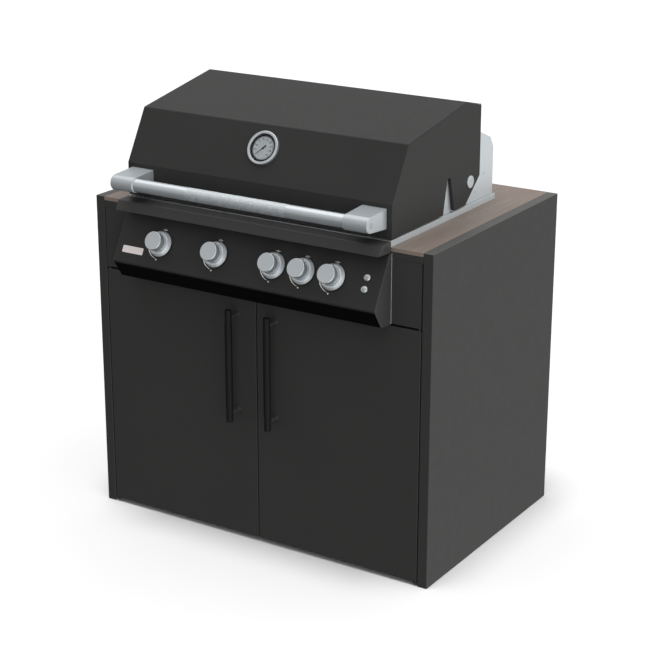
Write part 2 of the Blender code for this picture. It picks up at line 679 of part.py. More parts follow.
def build_lid_pivots():
    """Hinge pins with a disc outside each lid side."""
    radius, disc = HINGE_DISC
    outer, inner = LID_X + GAP + disc, PLATE_X - PLATE_GAUGE - 0.006
    profile = ((0.0, outer), (radius - 0.0012, outer), (radius, outer - 0.0012),
               (radius, LID_X + GAP), (HINGE_PIN, LID_X + GAP), (HINGE_PIN, inner), (0.0, inner))
    for name, side in (("left", -1), ("right", 1)):
        pin = turned("lid_pivot_" + name, SATIN, profile, 16)
        pin.location = (0.0, *HINGE)
        pin.rotation_euler = (0.0, side * math.pi / 2, 0.0)


def build_lid_handle():
    back, low, high = CHEEK_BACK
    nose = arc(GRIP_AXIS, CHEEK_RADIUS, 88, 266, 10)
    cheek = [(back, high), *nose, (back, low)]
    for name, side in (("left", -1), ("right", 1)):
        span = sorted((side * CHEEK_X[0], side * CHEEK_X[1]))
        flat("handle_block_" + name, SATIN, [cheek], "X", span)
    half = CHEEK_X[0] - GAP
    bore = GRIP_RADIUS - GRIP_WALL
    profile = ((bore, half), (GRIP_RADIUS, half), (GRIP_RADIUS, -half), (bore, -half))
    bar = turned("handle_bar", SATIN, profile, ROUND, loop=True)
    bar.location = (0.0, *GRIP_AXIS)
    bar.rotation_euler = (0.0, math.pi / 2, 0.0)


def build_thermometer():
    """Round gauge on the lid's slope. Its needle turns on the same empty."""
    axis = axis_empty("thermometer_axis", LID_SLOPE.point(0.0, slope_drop()), LID_SLOPE.tilt, FRAME)
    housing = ((0.0, 0.0020), (0.0385, 0.0020), (0.0385, 0.0085), (0.0437, 0.0085), (0.0450, 0.0070),
               (0.0450, GAP), (0.0060, GAP), (0.0060, -0.0400), (0.0, -0.0400))
    turned("thermometer_housing", SATIN, housing, ROUND, axis)
    turned("thermometer_dial", DIAL, rod_profile(0.0310, 0.0035, 0.0023), ROUND, axis)
    turned("thermometer_glass", GLASS, rod_profile(0.0381, 0.0074, 0.0064), ROUND, axis)
    blade = [(DIAL_NEEDLE, -0.0003), (DIAL_NEEDLE, 0.0003), *arc((-0.008, 0.0), 0.0018, 60, 300, 8)]
    needle = flat("thermometer_needle", INK, [blade], "Z", (0.0043, 0.0049), axis)
    needle.rotation_euler.z = math.radians(NEEDLE_TURN)


build_cabinet()
build_door("left", -1)
build_door("right", 1)
build_side_plates()
build_firebox()
build_grease_tray()
build_burners()
build_flame_tamers()
build_grates()
build_trim()
build_panel()
build_knobs()
build_buttons()
build_gas_line()
build_lid_body()
build_lid_pivots()
build_lid_handle()
build_thermometer()
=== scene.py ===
"""Looks for the built-in gas barbecue grill: fine meshes and procedural materials."""

import json
import math

import bmesh
import bpy
from mathutils import Matrix, Vector


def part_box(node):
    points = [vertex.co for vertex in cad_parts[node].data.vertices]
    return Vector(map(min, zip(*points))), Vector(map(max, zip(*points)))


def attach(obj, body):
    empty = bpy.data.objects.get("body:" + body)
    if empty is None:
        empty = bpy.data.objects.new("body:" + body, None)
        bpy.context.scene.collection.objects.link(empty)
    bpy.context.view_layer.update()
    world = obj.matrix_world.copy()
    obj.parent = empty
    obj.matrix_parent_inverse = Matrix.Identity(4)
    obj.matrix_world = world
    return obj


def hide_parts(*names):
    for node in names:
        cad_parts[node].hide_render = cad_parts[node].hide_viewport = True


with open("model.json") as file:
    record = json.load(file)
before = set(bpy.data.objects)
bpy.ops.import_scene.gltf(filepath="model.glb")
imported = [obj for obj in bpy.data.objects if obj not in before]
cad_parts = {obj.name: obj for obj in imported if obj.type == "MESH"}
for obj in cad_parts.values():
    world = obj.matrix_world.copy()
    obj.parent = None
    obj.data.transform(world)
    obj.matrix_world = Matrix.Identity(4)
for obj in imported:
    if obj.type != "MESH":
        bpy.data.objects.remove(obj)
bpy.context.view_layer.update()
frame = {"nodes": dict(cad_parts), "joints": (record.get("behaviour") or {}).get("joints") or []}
JOINTS = {joint["name"]: joint for joint in frame["joints"]}
NODES = frame["nodes"]
MM = 0.001
MIX_A, MIX_B, MIX_RESULT = 6, 7, 2  # the colour sockets of a Mix node


# ------------------------------------------------------------------ materials
class Surface:
    """A Principled material whose detail is made from object coordinates."""

    def __init__(self, name, colour, roughness, metallic=0.0, specular=0.5):
        self.material = bpy.data.materials.new(name)
        self.material.use_nodes = True
        self.tree = self.material.node_tree
        self.shader = self.tree.nodes["Principled BSDF"]
        self.set("Base Color", (*colour, 1.0))
        self.set("Roughness", roughness)
        self.set("Metallic", metallic)
        self.set("Specular IOR Level", specular)
        self.place = self.node("ShaderNodeTexCoord").outputs["Object"]
        self.normal = None  # what the last bump gives

    def node(self, kind, **values):
        made = self.tree.nodes.new(kind)
        for key, value in values.items():
            setattr(made, key, value)
        return made

    def link(self, output, socket):
        self.tree.links.new(output, socket)

    def set(self, socket, value):
        self.shader.inputs[socket].default_value = value

    def noise(self, size, stretch=(1, 1, 1), detail=3.0, rough=0.55):
        """Noise whose features are about `size` metres, times `stretch`."""
        scaled = self.node("ShaderNodeMapping")
        self.link(self.place, scaled.inputs["Vector"])
        scaled.inputs["Scale"].default_value = [1 / (size * part) for part in stretch]
        made = self.node("ShaderNodeTexNoise")
        made.inputs["Scale"].default_value = 1.0
        made.inputs["Detail"].default_value = detail
        made.inputs["Roughness"].default_value = rough
        self.link(scaled.outputs["Vector"], made.inputs["Vector"])
        return made.outputs["Fac"]

    def ranged(self, value, low, high, start=0.35, end=0.65):
        """`value` from start to end, spread over low to high."""
        made = self.node("ShaderNodeMapRange")
        for key, number in (("From Min", start), ("From Max", end), ("To Min", low), ("To Max", high)):
            made.inputs[key].default_value = number
        self.link(value, made.inputs["Value"])
        return made.outputs["Result"]

    def math(self, operation, first, second):
        made = self.node("ShaderNodeMath", operation=operation)
        for socket, value in zip(made.inputs, (first, second)):
            if isinstance(value, (int, float)):
                socket.default_value = value
            else:
                self.link(value, socket)
        return made.outputs[0]

    def waves(self, value, pitch):
        """The sine of `value`, with one wave in each `pitch` metres."""
        return self.math("SINE", self.math("MULTIPLY", value, 2 * math.pi / pitch), 0.0)

    def tint(self, factor, other):
        """Shift the base colour towards `other` where `factor` is high."""
        made = self.node("ShaderNodeMix", data_type="RGBA")
        base = self.shader.inputs["Base Color"]
        self.link(factor, made.inputs[0])
        if base.links:
            self.link(base.links[0].from_socket, made.inputs[MIX_A])
        else:
            made.inputs[MIX_A].default_value = base.default_value
        made.inputs[MIX_B].default_value = (*other, 1.0)
        self.link(made.outputs[MIX_RESULT], base)

    def vary_roughness(self, factor, low, high):
        self.link(self.ranged(factor, low, high), self.shader.inputs["Roughness"])

    def bump(self, height, distance, strength=1.0):
        """Raise the surface by `distance` metres where `height` is high."""
        made = self.node("ShaderNodeBump")
        made.inputs["Strength"].default_value = strength
        made.inputs["Distance"].default_value = distance
        self.link(height, made.inputs["Height"])
        if self.normal:
            self.link(self.normal, made.inputs["Normal"])
        self.normal = made.outputs["Normal"]
        self.link(self.normal, self.shader.inputs["Normal"])

    def parts(self):
        """The object coordinates as three sockets."""
        made = self.node("ShaderNodeSeparateXYZ")
        self.link(self.place, made.inputs[0])
        return made.outputs


def times(colour, share):
    return tuple(part * share for part in colour)


def make_board(name, painted_light_above=None):
    """Anthracite melamine: an even tone with a fine pearl texture. Above the height that the second argument
    gives, the board is painted lighter: a painted highlight on its top, where the light from above falls."""
    look = Surface(name, (0.0380, 0.0380, 0.0374), 0.50, specular=0.20)
    look.tint(look.ranged(look.noise(0.180), 0.0, 0.4), (0.0415, 0.0409, 0.0398))
    look.tint(look.ranged(look.noise(0.0012, detail=2.0), 0.0, 0.35, 0.45, 0.75), (0.056, 0.056, 0.055))
    look.vary_roughness(look.noise(0.030), 0.46, 0.54)
    look.bump(look.noise(0.0009, detail=2.0), 0.00006, 0.6)
    if painted_light_above:
        # painted highlight: lighter above that height, on the board's top
        look.tint(look.ranged(look.parts()[2], 0.0, 1.0, painted_light_above - 0.0001, painted_light_above), (0.095, 0.095, 0.092))
    return look.material


def make_worktop():
    """Grey-brown wood-look laminate, with its grain along the depth."""
    look = Surface("wood_look", (0.224, 0.180, 0.155), 0.55, specular=0.20)
    broad = look.noise(0.045, (1, 7, 1), 4.0, 0.6)
    streak = look.noise(0.0060, (1, 26, 1), 5.0, 0.65)
    pores = look.noise(0.0011, (1, 30, 1), 2.0)
    look.tint(look.ranged(broad, 0.0, 0.70, 0.38, 0.62), (0.250, 0.206, 0.182))
    look.tint(look.ranged(streak, 0.0, 0.35, 0.40, 0.70), (0.196, 0.156, 0.132))
    look.tint(look.ranged(pores, 0.0, 0.25, 0.56, 0.72), (0.140, 0.109, 0.090))
    look.vary_roughness(streak, 0.44, 0.58)
    look.bump(pores, 0.00010, 0.5)
    return look.material


def make_enamel(name, colour, roughness, specular, underside=None):
    """Powder-coated steel: fine orange peel and faint dulling. `underside` is a half width and a height.
    Within that width and below that height the coat is painted black, a painted shade under the panel; the
    ends beyond that width are painted lighter, a painted highlight on the end caps."""
    look = Surface(name, colour, roughness, specular=specular)
    look.tint(look.ranged(look.noise(0.160), 0.0, 0.4), times(colour, 1.10))
    look.tint(look.ranged(look.noise(0.0007, detail=1.0), 0.0, 0.25, 0.50, 0.72), times(colour, 1.6))
    look.vary_roughness(look.noise(0.010), roughness - 0.02, roughness + 0.03)
    look.bump(look.noise(0.0028, detail=2.0), 0.00005, 0.5)
    if underside:
        half, height = underside
        x, _, z = look.parts()
        inside = look.math("LESS_THAN", look.math("ABSOLUTE", x, 0.0), half)
        below = look.math("LESS_THAN", z, height)
        # painted shade: black within the half width and below the height
        look.tint(look.math("MULTIPLY", inside, below), (0.0030, 0.0030, 0.0030))
        # painted highlight: lighter ends beyond the half width
        look.tint(look.math("SUBTRACT", 1.0, inside), times(colour, 1.8))
    return look.material


def make_brushed(name, colour, roughness, along, metallic):
    """Steel brushed along one axis: 0, 1 or 2 for X, Y or Z."""
    look = Surface(name, colour, roughness, metallic)
    stretch = [1.0, 1.0, 1.0]
    stretch[along] = 90.0
    lines = look.noise(0.0006, stretch, 2.0, 0.7)
    look.tint(look.ranged(lines, 0.0, 0.45), times(colour, 0.86))
    look.tint(look.ranged(look.noise(0.070), 0.0, 0.30), times(colour, 0.95))
    look.vary_roughness(lines, roughness - 0.03, roughness + 0.05)
    look.bump(lines, 0.00001, 0.20)
    return look.material


def make_turned_metal(name, colour, roughness, metallic):
    """Metal with the fine rings that a lathe leaves round its local Z."""
    look = Surface(name, colour, roughness, metallic)
    x, y, z = look.parts()
    square = look.math("ADD", look.math("MULTIPLY", x, x), look.math("MULTIPLY", y, y))
    rings = look.waves(look.math("ADD", look.math("SQRT", square, 0.0), z), 1.2 * MM)
    look.tint(look.ranged(rings, 0.0, 0.25, -1.0, 1.0), times(colour, 0.95))
    look.vary_roughness(look.noise(0.030, detail=1.0), roughness - 0.02, roughness + 0.02)
    look.bump(rings, 0.000002, 0.05)
    return look.material


def make_plain_metal(name, colour, roughness, metallic=1.0):
    """Metal with a fine grain in no direction."""
    look = Surface(name, colour, roughness, metallic)
    grain = look.noise(0.0008, detail=2.0)
    look.tint(look.ranged(grain, 0.0, 0.30), times(colour, 0.85))
    look.vary_roughness(look.noise(0.015), roughness - 0.04, roughness + 0.06)
    look.bump(grain, 0.00002, 0.4)
    return look.material


def make_iron():
    """Seasoned cast iron: sand-cast grain and browner worn patches."""
    look = Surface("cast_iron", (0.018, 0.017, 0.016), 0.55, 0.35)
    look.tint(look.ranged(look.noise(0.030), 0.0, 0.6, 0.45, 0.7), (0.034, 0.026, 0.021))
    look.vary_roughness(look.noise(0.006), 0.45, 0.68)
    look.bump(look.noise(0.0015, detail=3.0), 0.00022, 0.7)
    return look.material


def make_burner_steel():
    """Heat-tinted plain steel."""
    look = Surface("heated_steel", (0.42, 0.40, 0.37), 0.42, 1.0)
    look.tint(look.ranged(look.noise(0.060), 0.0, 0.8, 0.42, 0.66), (0.33, 0.25, 0.17))
    look.tint(look.ranged(look.noise(0.020), 0.0, 0.4, 0.55, 0.75), (0.24, 0.25, 0.30))
    look.vary_roughness(look.noise(0.004), 0.34, 0.52)
    look.bump(look.noise(0.0012), 0.00004, 0.5)
    return look.material


def make_ceramic():
    """Perforated ceramic tile: a grid of small holes, darkened as painted shade inside them."""
    look = Surface("burner_ceramic", (0.58, 0.52, 0.42), 0.80, specular=0.25)
    x, _, z = look.parts()
    holes = look.math("MULTIPLY", look.waves(x, 4.5 * MM), look.waves(z, 4.5 * MM))
    # painted shade: the holes darkened
    look.tint(look.ranged(holes, 0.0, 1.0, 0.25, 0.55), (0.040, 0.034, 0.028))
    look.tint(look.ranged(look.noise(0.040), 0.0, 0.4), (0.44, 0.37, 0.29))
    look.bump(look.ranged(holes, 1.0, 0.0, 0.25, 0.55), 0.0008, 0.8)
    return look.material


def make_glass():
    """Clear glass, nearly all of it see-through."""
    look = Surface("gauge_glass", (0.02, 0.02, 0.02), 0.04)
    look.set("Alpha", 0.06)
    look.vary_roughness(look.noise(0.020), 0.03, 0.07)
    return look.material


def make_print(name, colour, roughness=0.45):
    """Thin printed or painted marks, with the slight unevenness of ink."""
    look = Surface(name, colour, roughness, specular=0.3)
    look.tint(look.ranged(look.noise(0.0015), 0.0, 0.25), times(colour, 0.85))
    look.vary_roughness(look.noise(0.002), roughness - 0.05, roughness + 0.08)
    look.bump(look.noise(0.0006), 0.00001, 0.4)
    return look.material


BOARD = make_board("anthracite_board")
# the side panels' boards, with a painted highlight along their tops
TOP_LIT_BOARD = make_board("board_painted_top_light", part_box("side_panel_left")[1].z - 0.8 * MM)
WOOD = make_worktop()
LID = make_enamel("lid_enamel", (0.0325, 0.0325, 0.0318), 0.50, 0.12)
panel_low, panel_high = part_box("control_panel")
# the panel's enamel, with painted shade on its underside and a painted highlight on its ends
PANEL = make_enamel("panel_enamel", (0.0290, 0.0290, 0.0287), 0.46, 0.16,
                    underside=(panel_high.x - 0.0016, panel_low.z + 0.0500))
STEEL = (0.60, 0.64, 0.665)
SHEET = make_brushed("brushed_sheet", STEEL, 0.42, 2, 0.45)
TRIM = make_brushed("brushed_trim", STEEL, 0.40, 1, 0.45)
GRIP = make_brushed("brushed_grip", (0.60, 0.64, 0.67), 0.25, 0, 0.52)
BLOCK = make_brushed("brushed_block", (0.47, 0.505, 0.53), 0.32, 0, 0.34)
KNURL = make_plain_metal("knurled_metal", (0.58, 0.62, 0.65), 0.28, metallic=0.52)
KNOB = make_turned_metal("turned_knob", (0.62, 0.66, 0.69), 0.20, 0.58)
SKIRT = make_turned_metal("turned_skirt", (0.70, 0.74, 0.77), 0.30, 0.25)
CHROME = make_turned_metal("polished_metal", (0.60, 0.63, 0.65), 0.22, 0.65)
SCREW = make_plain_metal("screw_metal", (0.52, 0.55, 0.57), 0.32, metallic=0.5)
HANDLE = make_enamel("black_handle", (0.0105, 0.0102, 0.0102), 0.60, 0.12)
POST = make_enamel("handle_post", (0.0520, 0.0520, 0.0515), 0.42, 0.45)
IRON = make_iron()
HEATED = make_burner_steel()
CERAMIC = make_ceramic()
BRASS = make_plain_metal("brass", (0.55, 0.40, 0.16), 0.34)
DIAL = make_print("dial_face", (0.46, 0.50, 0.52), 0.50)
INK = make_print("dial_ink", (0.012, 0.012, 0.012))
MARK = make_print("white_mark", (0.84, 0.81, 0.78))
# lighter than the panel's enamel: the band's tone is raised as painted light, for the light its upper face
# catches
BAND_PAINTED_LIGHT = make_enamel("band_enamel_painted_light", (0.0490, 0.0490, 0.0484), 0.44, 0.22)
# lighter enamel for the band's lower edge: a painted highlight
PAINTED_EDGE_LIGHT = make_enamel("painted_edge_highlight", (0.070, 0.070, 0.068), 0.45, 0.30)
BADGE = make_print("badge_face", (0.78, 0.72, 0.70), 0.40)
# near-black standing in for the shade inside holes, slots and gaps: painted shade
PAINTED_SHADE = make_plain_metal("painted_shade_recess", (0.006, 0.006, 0.006), 0.60, metallic=0.0)
GLASS = make_glass()


# --------------------------------------------------------------- mesh helpers
def standing(place, up):
    """A matrix at `place` whose Z is `up` and whose X is the object's X, or
    its Y where `up` runs along X."""
    z = Vector(up).normalized()
    x = Vector((1.0, 0.0, 0.0))
    if abs(z.x) > 0.5:
        x = Vector((0.0, 1.0, 0.0))
    y = z.cross(x)
    made = Matrix((x, y, z)).transposed().to_4x4()
    made.translation = Vector(place)
    return made


def arc(centre, radius, start, end, count):
    """Points on an arc, with the angles in degrees."""
    angles = [math.radians(start + (end - start) * k / count) for k in range(count + 1)]
    return [(centre[0] + radius * math.cos(a), centre[1] + radius * math.sin(a)) for a in angles]


def rounded(points, radius, steps=5, closed=True):
    """An outline with each corner turned into an arc. `radius` is one number
    or one for each corner."""
    radii = radius if isinstance(radius, (list, tuple)) else [radius] * len(points)
    made = []
    for k, (point, size) in enumerate(zip(points, radii)):
        end = not closed and k in (0, len(points) - 1)
        if end or size <= 0:
            made.append(tuple(point))
            continue
        here = Vector(point)
        back = Vector(points[k - 1]) - here
        ahead = Vector(points[(k + 1) % len(points)]) - here
        half = back.angle(ahead) / 2
        cut = min(size / math.tan(half), 0.49 * back.length, 0.49 * ahead.length)
        first, last = here + back.normalized() * cut, here + ahead.normalized() * cut
        middle = here + (back.normalized() + ahead.normalized()).normalized() * cut / math.cos(half)
        sweep = (first - middle).angle_signed(last - middle)
        for n in range(steps + 1):
            turn = Matrix.Rotation(-sweep * n / steps, 2)
            made.append(tuple(middle + turn @ (first - middle)))
    return made


def washer(inner, outer, low, high):
    """The closed profile of a flat ring, for `turned`."""
    return [(inner, low), (outer, low), (outer, high), (inner, high), (inner, low)]


def rectangle(low, high):
    return [(low[0], low[1]), (high[0], low[1]), (high[0], high[1]), (low[0], high[1])]


AXES = {"X": Matrix(((0, 0, 1), (1, 0, 0), (0, 1, 0))).to_4x4(),
        "Y": Matrix(((1, 0, 0), (0, 0, 1), (0, 1, 0))).to_4x4(),
        "Z": Matrix.Identity(4)}


def finished(bm, name):
    """The mesh that `bm` holds. `bm` is freed."""
    mesh = bpy.data.meshes.new(name)
    bm.to_mesh(mesh)
    bm.free()
    return mesh


def shown(name, data):
    """A new object in the scene."""
    item = bpy.data.objects.new(name, data)
    bpy.context.scene.collection.objects.link(item)
    return item


def extruded(bm, points, move):
    """Add a face through the points, extruded along `move`."""
    base = bm.faces.new([bm.verts.new(point) for point in points])
    grown = bmesh.ops.extrude_face_region(bm, geom=[base])["geom"]
    far = [item for item in grown if isinstance(item, bmesh.types.BMVert)]
    bmesh.ops.translate(bm, vec=move, verts=far)


def soften(bm, edges, width, segments):
    bmesh.ops.bevel(bm, geom=edges, offset=width, segments=segments, affect="EDGES", profile=0.5)


def merge(bm, part, matrix):
    """Add the mesh of `part` to `bm`, and free it."""
    if matrix is not None:
        bmesh.ops.transform(part, matrix=matrix, verts=part.verts)
    bmesh.ops.recalc_face_normals(part, faces=part.faces)
    carrier = finished(part, "carrier")
    bm.from_mesh(carrier)
    bpy.data.meshes.remove(carrier)


def turned(bm, profile, matrix, steps):
    """Add a shape turned round Z from (radius, z) points."""
    part = bmesh.new()
    points = [part.verts.new((radius, 0.0, z)) for radius, z in profile]
    edges = [part.edges.new(pair) for pair in zip(points, points[1:])]
    bmesh.ops.spin(part, geom=points + edges, cent=(0, 0, 0), axis=(0, 0, 1), angle=2 * math.pi,
                   steps=steps, use_merge=True)
    bmesh.ops.remove_doubles(part, verts=part.verts, dist=1e-6)
    merge(bm, part, matrix)


def prism(bm, outline, span, facing="Z", edge=0.0, matrix=None, segments=2):
    """Add an outline extruded along an axis, with its rims rounded by `edge`."""
    part = bmesh.new()
    extruded(part, [(u, v, span[0]) for u, v in outline], (0, 0, span[1] - span[0]))
    if edge:
        rims = [e for e in part.edges if abs(e.verts[0].co.z - e.verts[1].co.z) < 1e-7]
        soften(part, rims, edge, segments)
    merge(bm, part, AXES[facing] if matrix is None else matrix @ AXES[facing])


def box(bm, low, high, edge=0.0003, matrix=None):
    """Add a box between two corners, with its edges rounded by `edge`."""
    part = bmesh.new()
    low, high = Vector(low), Vector(high)
    shape = Matrix.Translation((low + high) / 2) @ Matrix.Diagonal((*(high - low), 1.0))
    bmesh.ops.create_cube(part, size=1.0, matrix=shape)
    if edge:
        soften(part, part.edges[:], edge, 2)
    merge(bm, part, matrix)


def rod(bm, start, end, radius, sides=12, edge=0.0):
    """Add a round rod between two points, with its end rims cut by `edge`."""
    start, end = Vector(start), Vector(end)
    length = (end - start).length
    rim = min(edge, radius / 2)
    profile = [(0.0, length), (radius, length), (radius, 0.0), (0.0, 0.0)]
    if rim:
        profile[1:3] = [(radius - rim, length), (radius, length - rim), (radius, rim), (radius - rim, 0.0)]
    turned(bm, profile, standing(start, end - start), sides)


def shade(mesh, sharp=32.0):
    """Shade smooth, but for edges that turn by more than `sharp` degrees."""
    mesh.shade_smooth()
    mesh.set_sharp_from_angle(angle=math.radians(sharp))


def even_normals(item):
    """Let large flat faces set the normals at their rounded edges."""
    smooth = item.modifiers.new("normals", "WEIGHTED_NORMAL")
    smooth.keep_sharp = True
    smooth.weight = 100


def piece(name, bm, material, body, matrix=None, replaces=(), sharp=32.0):
    """Make the object, let it ride on a body, and hide the CAD parts it stands for."""
    mesh = finished(bm, name)
    mesh.materials.append(material)
    shade(mesh, sharp)
    item = shown(name, mesh)
    even_normals(item)
    if matrix is not None:
        item.matrix_world = matrix
    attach(item, body)
    if replaces:
        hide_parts(*replaces)
    return item


def lathed(name, profile, steps, material, body, matrix=None, replaces=()):
    """A piece that is one turned shape."""
    bm = bmesh.new()
    turned(bm, profile, None, steps)
    piece(name, bm, material, body, matrix, replaces)


def restyle(node, material, edge=0.0):
    """Keep a CAD node's shape, with fine rounded edges and a real material."""
    item = NODES[node]
    item.data.materials.clear()
    item.data.materials.append(material)
    for polygon in item.data.polygons:
        polygon.material_index = 0
    if "custom_normal" in item.data.attributes:
        item.data.attributes.remove(item.data.attributes["custom_normal"])
    weld = item.modifiers.new("weld", "WELD")
    weld.merge_threshold = 0.01 * MM
    if edge:
        bevel = item.modifiers.new("edges", "BEVEL")
        bevel.width = edge
        bevel.segments = 2
        bevel.limit_method = "ANGLE"
        bevel.angle_limit = math.radians(35)
    even_normals(item)


def inset(points, distance):
    """An open chain of points moved `distance` to its right-hand side."""
    chain = [Vector(point) for point in points]
    runs = [(after - before).normalized() for before, after in zip(chain, chain[1:])]
    moved = []
    for k, point in enumerate(chain):
        behind, ahead = runs[max(k - 1, 0)], runs[min(k, len(runs) - 1)]
        middle = (behind + ahead).normalized()
        reach = distance / middle.dot(ahead)
        moved.append((point.x + middle.y * reach, point.y - middle.x * reach))
    return moved


def open_pan(name, outline, span, open_to, material, body, replaces):
    """Folded sheet: a (y, z) outline over an x span, open on the sides whose
    normal `open_to` picks, with rounded rims and real thickness."""
    bm = bmesh.new()
    extruded(bm, [(span[0], y, z) for y, z in outline], (span[1] - span[0], 0, 0))
    bmesh.ops.recalc_face_normals(bm, faces=bm.faces)
    bmesh.ops.delete(bm, geom=[face for face in bm.faces if open_to(face.normal)], context="FACES")
    rims = [e for e in bm.edges if len(e.link_faces) == 2
            and sum(abs(face.normal.x) > 0.9 for face in e.link_faces) == 1]
    soften(bm, rims, PAN_RIM, 3)
    item = piece(name, bm, material, body, replaces=replaces)
    item.modifiers.clear()
    wall = item.modifiers.new("gauge", "SOLIDIFY")
    wall.thickness = SHEET_GAUGE
    wall.offset = -1.0
    wall.use_even_offset = True
    even_normals(item)
    return item


def applied(item):
    """Turn an object's modifiers into its mesh."""
    bpy.context.view_layer.update()
    ready = item.evaluated_get(bpy.context.evaluated_depsgraph_get())
    mesh = bpy.data.meshes.new_from_object(ready)
    item.modifiers.clear()
    item.data = mesh


def drill(item, holes):
    """Cut round holes, each (radius, matrix), through a piece."""
    reach = 10 * MM
    bm = bmesh.new()
    for radius, matrix in holes:
        turned(bm, [(0.0, reach), (radius, reach), (radius, -reach), (0.0, -reach)], matrix, 32)
    cutter = shown("drill", finished(bm, "drill"))
    cut = item.modifiers.new("holes", "BOOLEAN")
    cut.operation = "DIFFERENCE"
    cut.solver = "EXACT"
    cut.object = cutter
    applied(item)
    bpy.data.objects.remove(cutter, do_unlink=True)
    shade(item.data)
    even_normals(item)


# ------------------------------------------------------------ shared positions
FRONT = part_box("door_right")[0].y  # the cabinet's front face
SHEET_GAUGE = 1.5 * MM
PAN_RIM = 1.2 * MM  # the rounding of a folded pan's rims
CLEAR = 0.3 * MM
PRINTED = (0.00005, 0.00018)  # where a printed mark lies over its surface
lid_low, lid_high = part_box("lid_shell")
KNOBS = range(1, 6)
BUTTONS = ("upper", "lower")
BUTTON_HEAD, BUTTON_TAIL = 0.0042, 0.0100  # in front of and behind the panel
UP_PANEL = Vector(JOINTS["knob_1_turn"]["axis"])
UP_LID = -Vector(JOINTS["needle_turn"]["axis"])
GAUGE = standing(JOINTS["needle_turn"]["pos_m"], UP_LID)


def knob_frame(number):
    return standing(JOINTS[f"knob_{number}_turn"]["pos_m"], UP_PANEL)


def lid_point(y, z):
    """A (y, z) point measured from the lid's lower front corner."""
    return lid_low.y + y, lid_low.z + z


LID_PROFILE = [lid_point(*spot) for spot in
               ((0.0011, 0.0), (0.0, 0.0871), (0.0765, 0.2231), (0.3749, 0.2758), (0.4557, 0.2563))]
LID_FOLDS = [0.0, 0.0040, 0.0060, 0.0060, 0.0]  # bend radii along the profile


# -------------------------------------------------------------------- cabinet
def dress_cabinet():
    """The boards, with the fine roundings of their taped edges."""
    for side in ("left", "right"):
        restyle("side_panel_" + side, TOP_LIT_BOARD, 0.0004)
        restyle("front_rail_" + side, BOARD, 0.0006)
        restyle("filler_panel_" + side, BOARD, 0.0008)
        restyle("door_" + side, BOARD, 0.0009)
        restyle("worktop_" + side, WOOD, 0.0007)
    restyle("worktop_back", WOOD, 0.0007)
    restyle("floor_board", BOARD, 0.0005)
    restyle("back_panel", BOARD, 0.0004)


def build_door_handles():
    """Black bar handles: a sleeve on a thinner bar, on two posts with feet."""
    rim, post, foot = 0.0020, 0.0055, 0.0070  # the bar's end rounding and the posts' radii
    for side in ("left", "right"):
        low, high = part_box("door_handle_" + side)
        sleeve = (high.x - low.x) / 2
        thin, middle = sleeve - 0.8 * MM, (low.x + high.x) / 2
        length, axis_y = high.z - low.z, low.y + sleeve
        bottom, top = 0.043, length - 0.042  # the sleeve's two ends
        profile = [(0.0, length), (thin - rim, length), *arc((thin - rim, length - rim), rim, 90, 0, 5),
                   (thin, top), (sleeve - 0.0003, top), (sleeve, top - 0.0004),
                   (sleeve, bottom + 0.0004), (sleeve - 0.0003, bottom), (thin, bottom),
                   *arc((thin - rim, rim), rim, 0, -90, 5), (0.0, 0.0)]
        bm = bmesh.new()
        turned(bm, profile, Matrix.Translation((middle, axis_y, low.z)), 40)
        piece(f"bar_handle_{side}", bm, HANDLE, "door_" + side,
              replaces=["door_handle_" + side])
        bm = bmesh.new()
        for height in (0.024, length - 0.022):
            z = low.z + height
            rod(bm, (middle, axis_y + thin * 0.6, z), (middle, high.y, z), post, 24)
            rod(bm, (middle, high.y - 0.0025, z), (middle, high.y, z), foot, 32, 0.0006)
        piece(f"handle_posts_{side}", bm, POST, "door_" + side)


# ------------------------------------------------------------------ grill head
def dress_firebox():
    """The sheets inside the head and the gas line."""
    for side in ("left", "right"):
        restyle("side_plate_" + side, SHEET, 0.0004)
        restyle("drip_sheet_" + side, SHEET)
        restyle("flame_tamer_" + side, HEATED)
    restyle("rear_wall", SHEET)
    restyle("front_wall", SHEET)
    restyle("grease_tray", SHEET)
    restyle("gas_manifold", BRASS)
    for number in KNOBS:
        restyle(f"valve_stem_{number}", BRASS)


def build_trim():
    """U-shaped worktop trim: a low shelf with a raised lip round the outside."""
    low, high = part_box("trim_frame")
    inner_x, inner_y = high.x - 8.2 * MM, low.y + 15.0 * MM
    lip, shelf = 1.8 * MM, high.z - 2.6 * MM
    plate_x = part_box("side_plate_right")[1].x

    def u_shape(edge_x, edge_y):
        return [(low.x, low.y), (high.x, low.y), (high.x, high.y), (edge_x, high.y),
                (edge_x, edge_y), (-edge_x, edge_y), (-edge_x, high.y), (low.x, high.y)]

    bm = bmesh.new()
    prism(bm, u_shape(inner_x, inner_y), (low.z, shelf), edge=0.0002)
    prism(bm, u_shape(high.x - lip, low.y + lip), (shelf - 0.0004, high.z), edge=0.0004)
    piece("worktop_trim", bm, TRIM, "cabinet", replaces=["trim_frame"])
    bm = bmesh.new()
    for side in (-1, 1):
        for inset_y in (0.023, 0.250):  # on the shelf
            add_screw(bm, (side * (inner_x + 0.0034), high.y - inset_y, shelf), (0, 0, 1), 0.0022)
        for y, z in ((0.497, 0.982), (0.450, 0.940)):  # on the side plates
            add_screw(bm, (side * plate_x, FRONT + y, z), (side, 0, 0), 0.0030)
    piece("head_screws", bm, SCREW, "cabinet")


def add_screw(bm, place, up, radius):
    """A pan head with a slot."""
    height, flat = radius * 0.45, radius * 0.55
    profile = [(0.0, height), (flat, height), *arc((flat, 0.0), radius * 0.45, 90, 0, 5), (0.0, 0.0)]
    matrix = standing(place, up)
    turned(bm, profile, matrix, 20)
    top, slot = Vector((0.0, 0.0, height)), Vector((radius * 0.62, radius * 0.10, 0.0001))
    box(bm, top - slot, top + slot, 0.0, matrix)


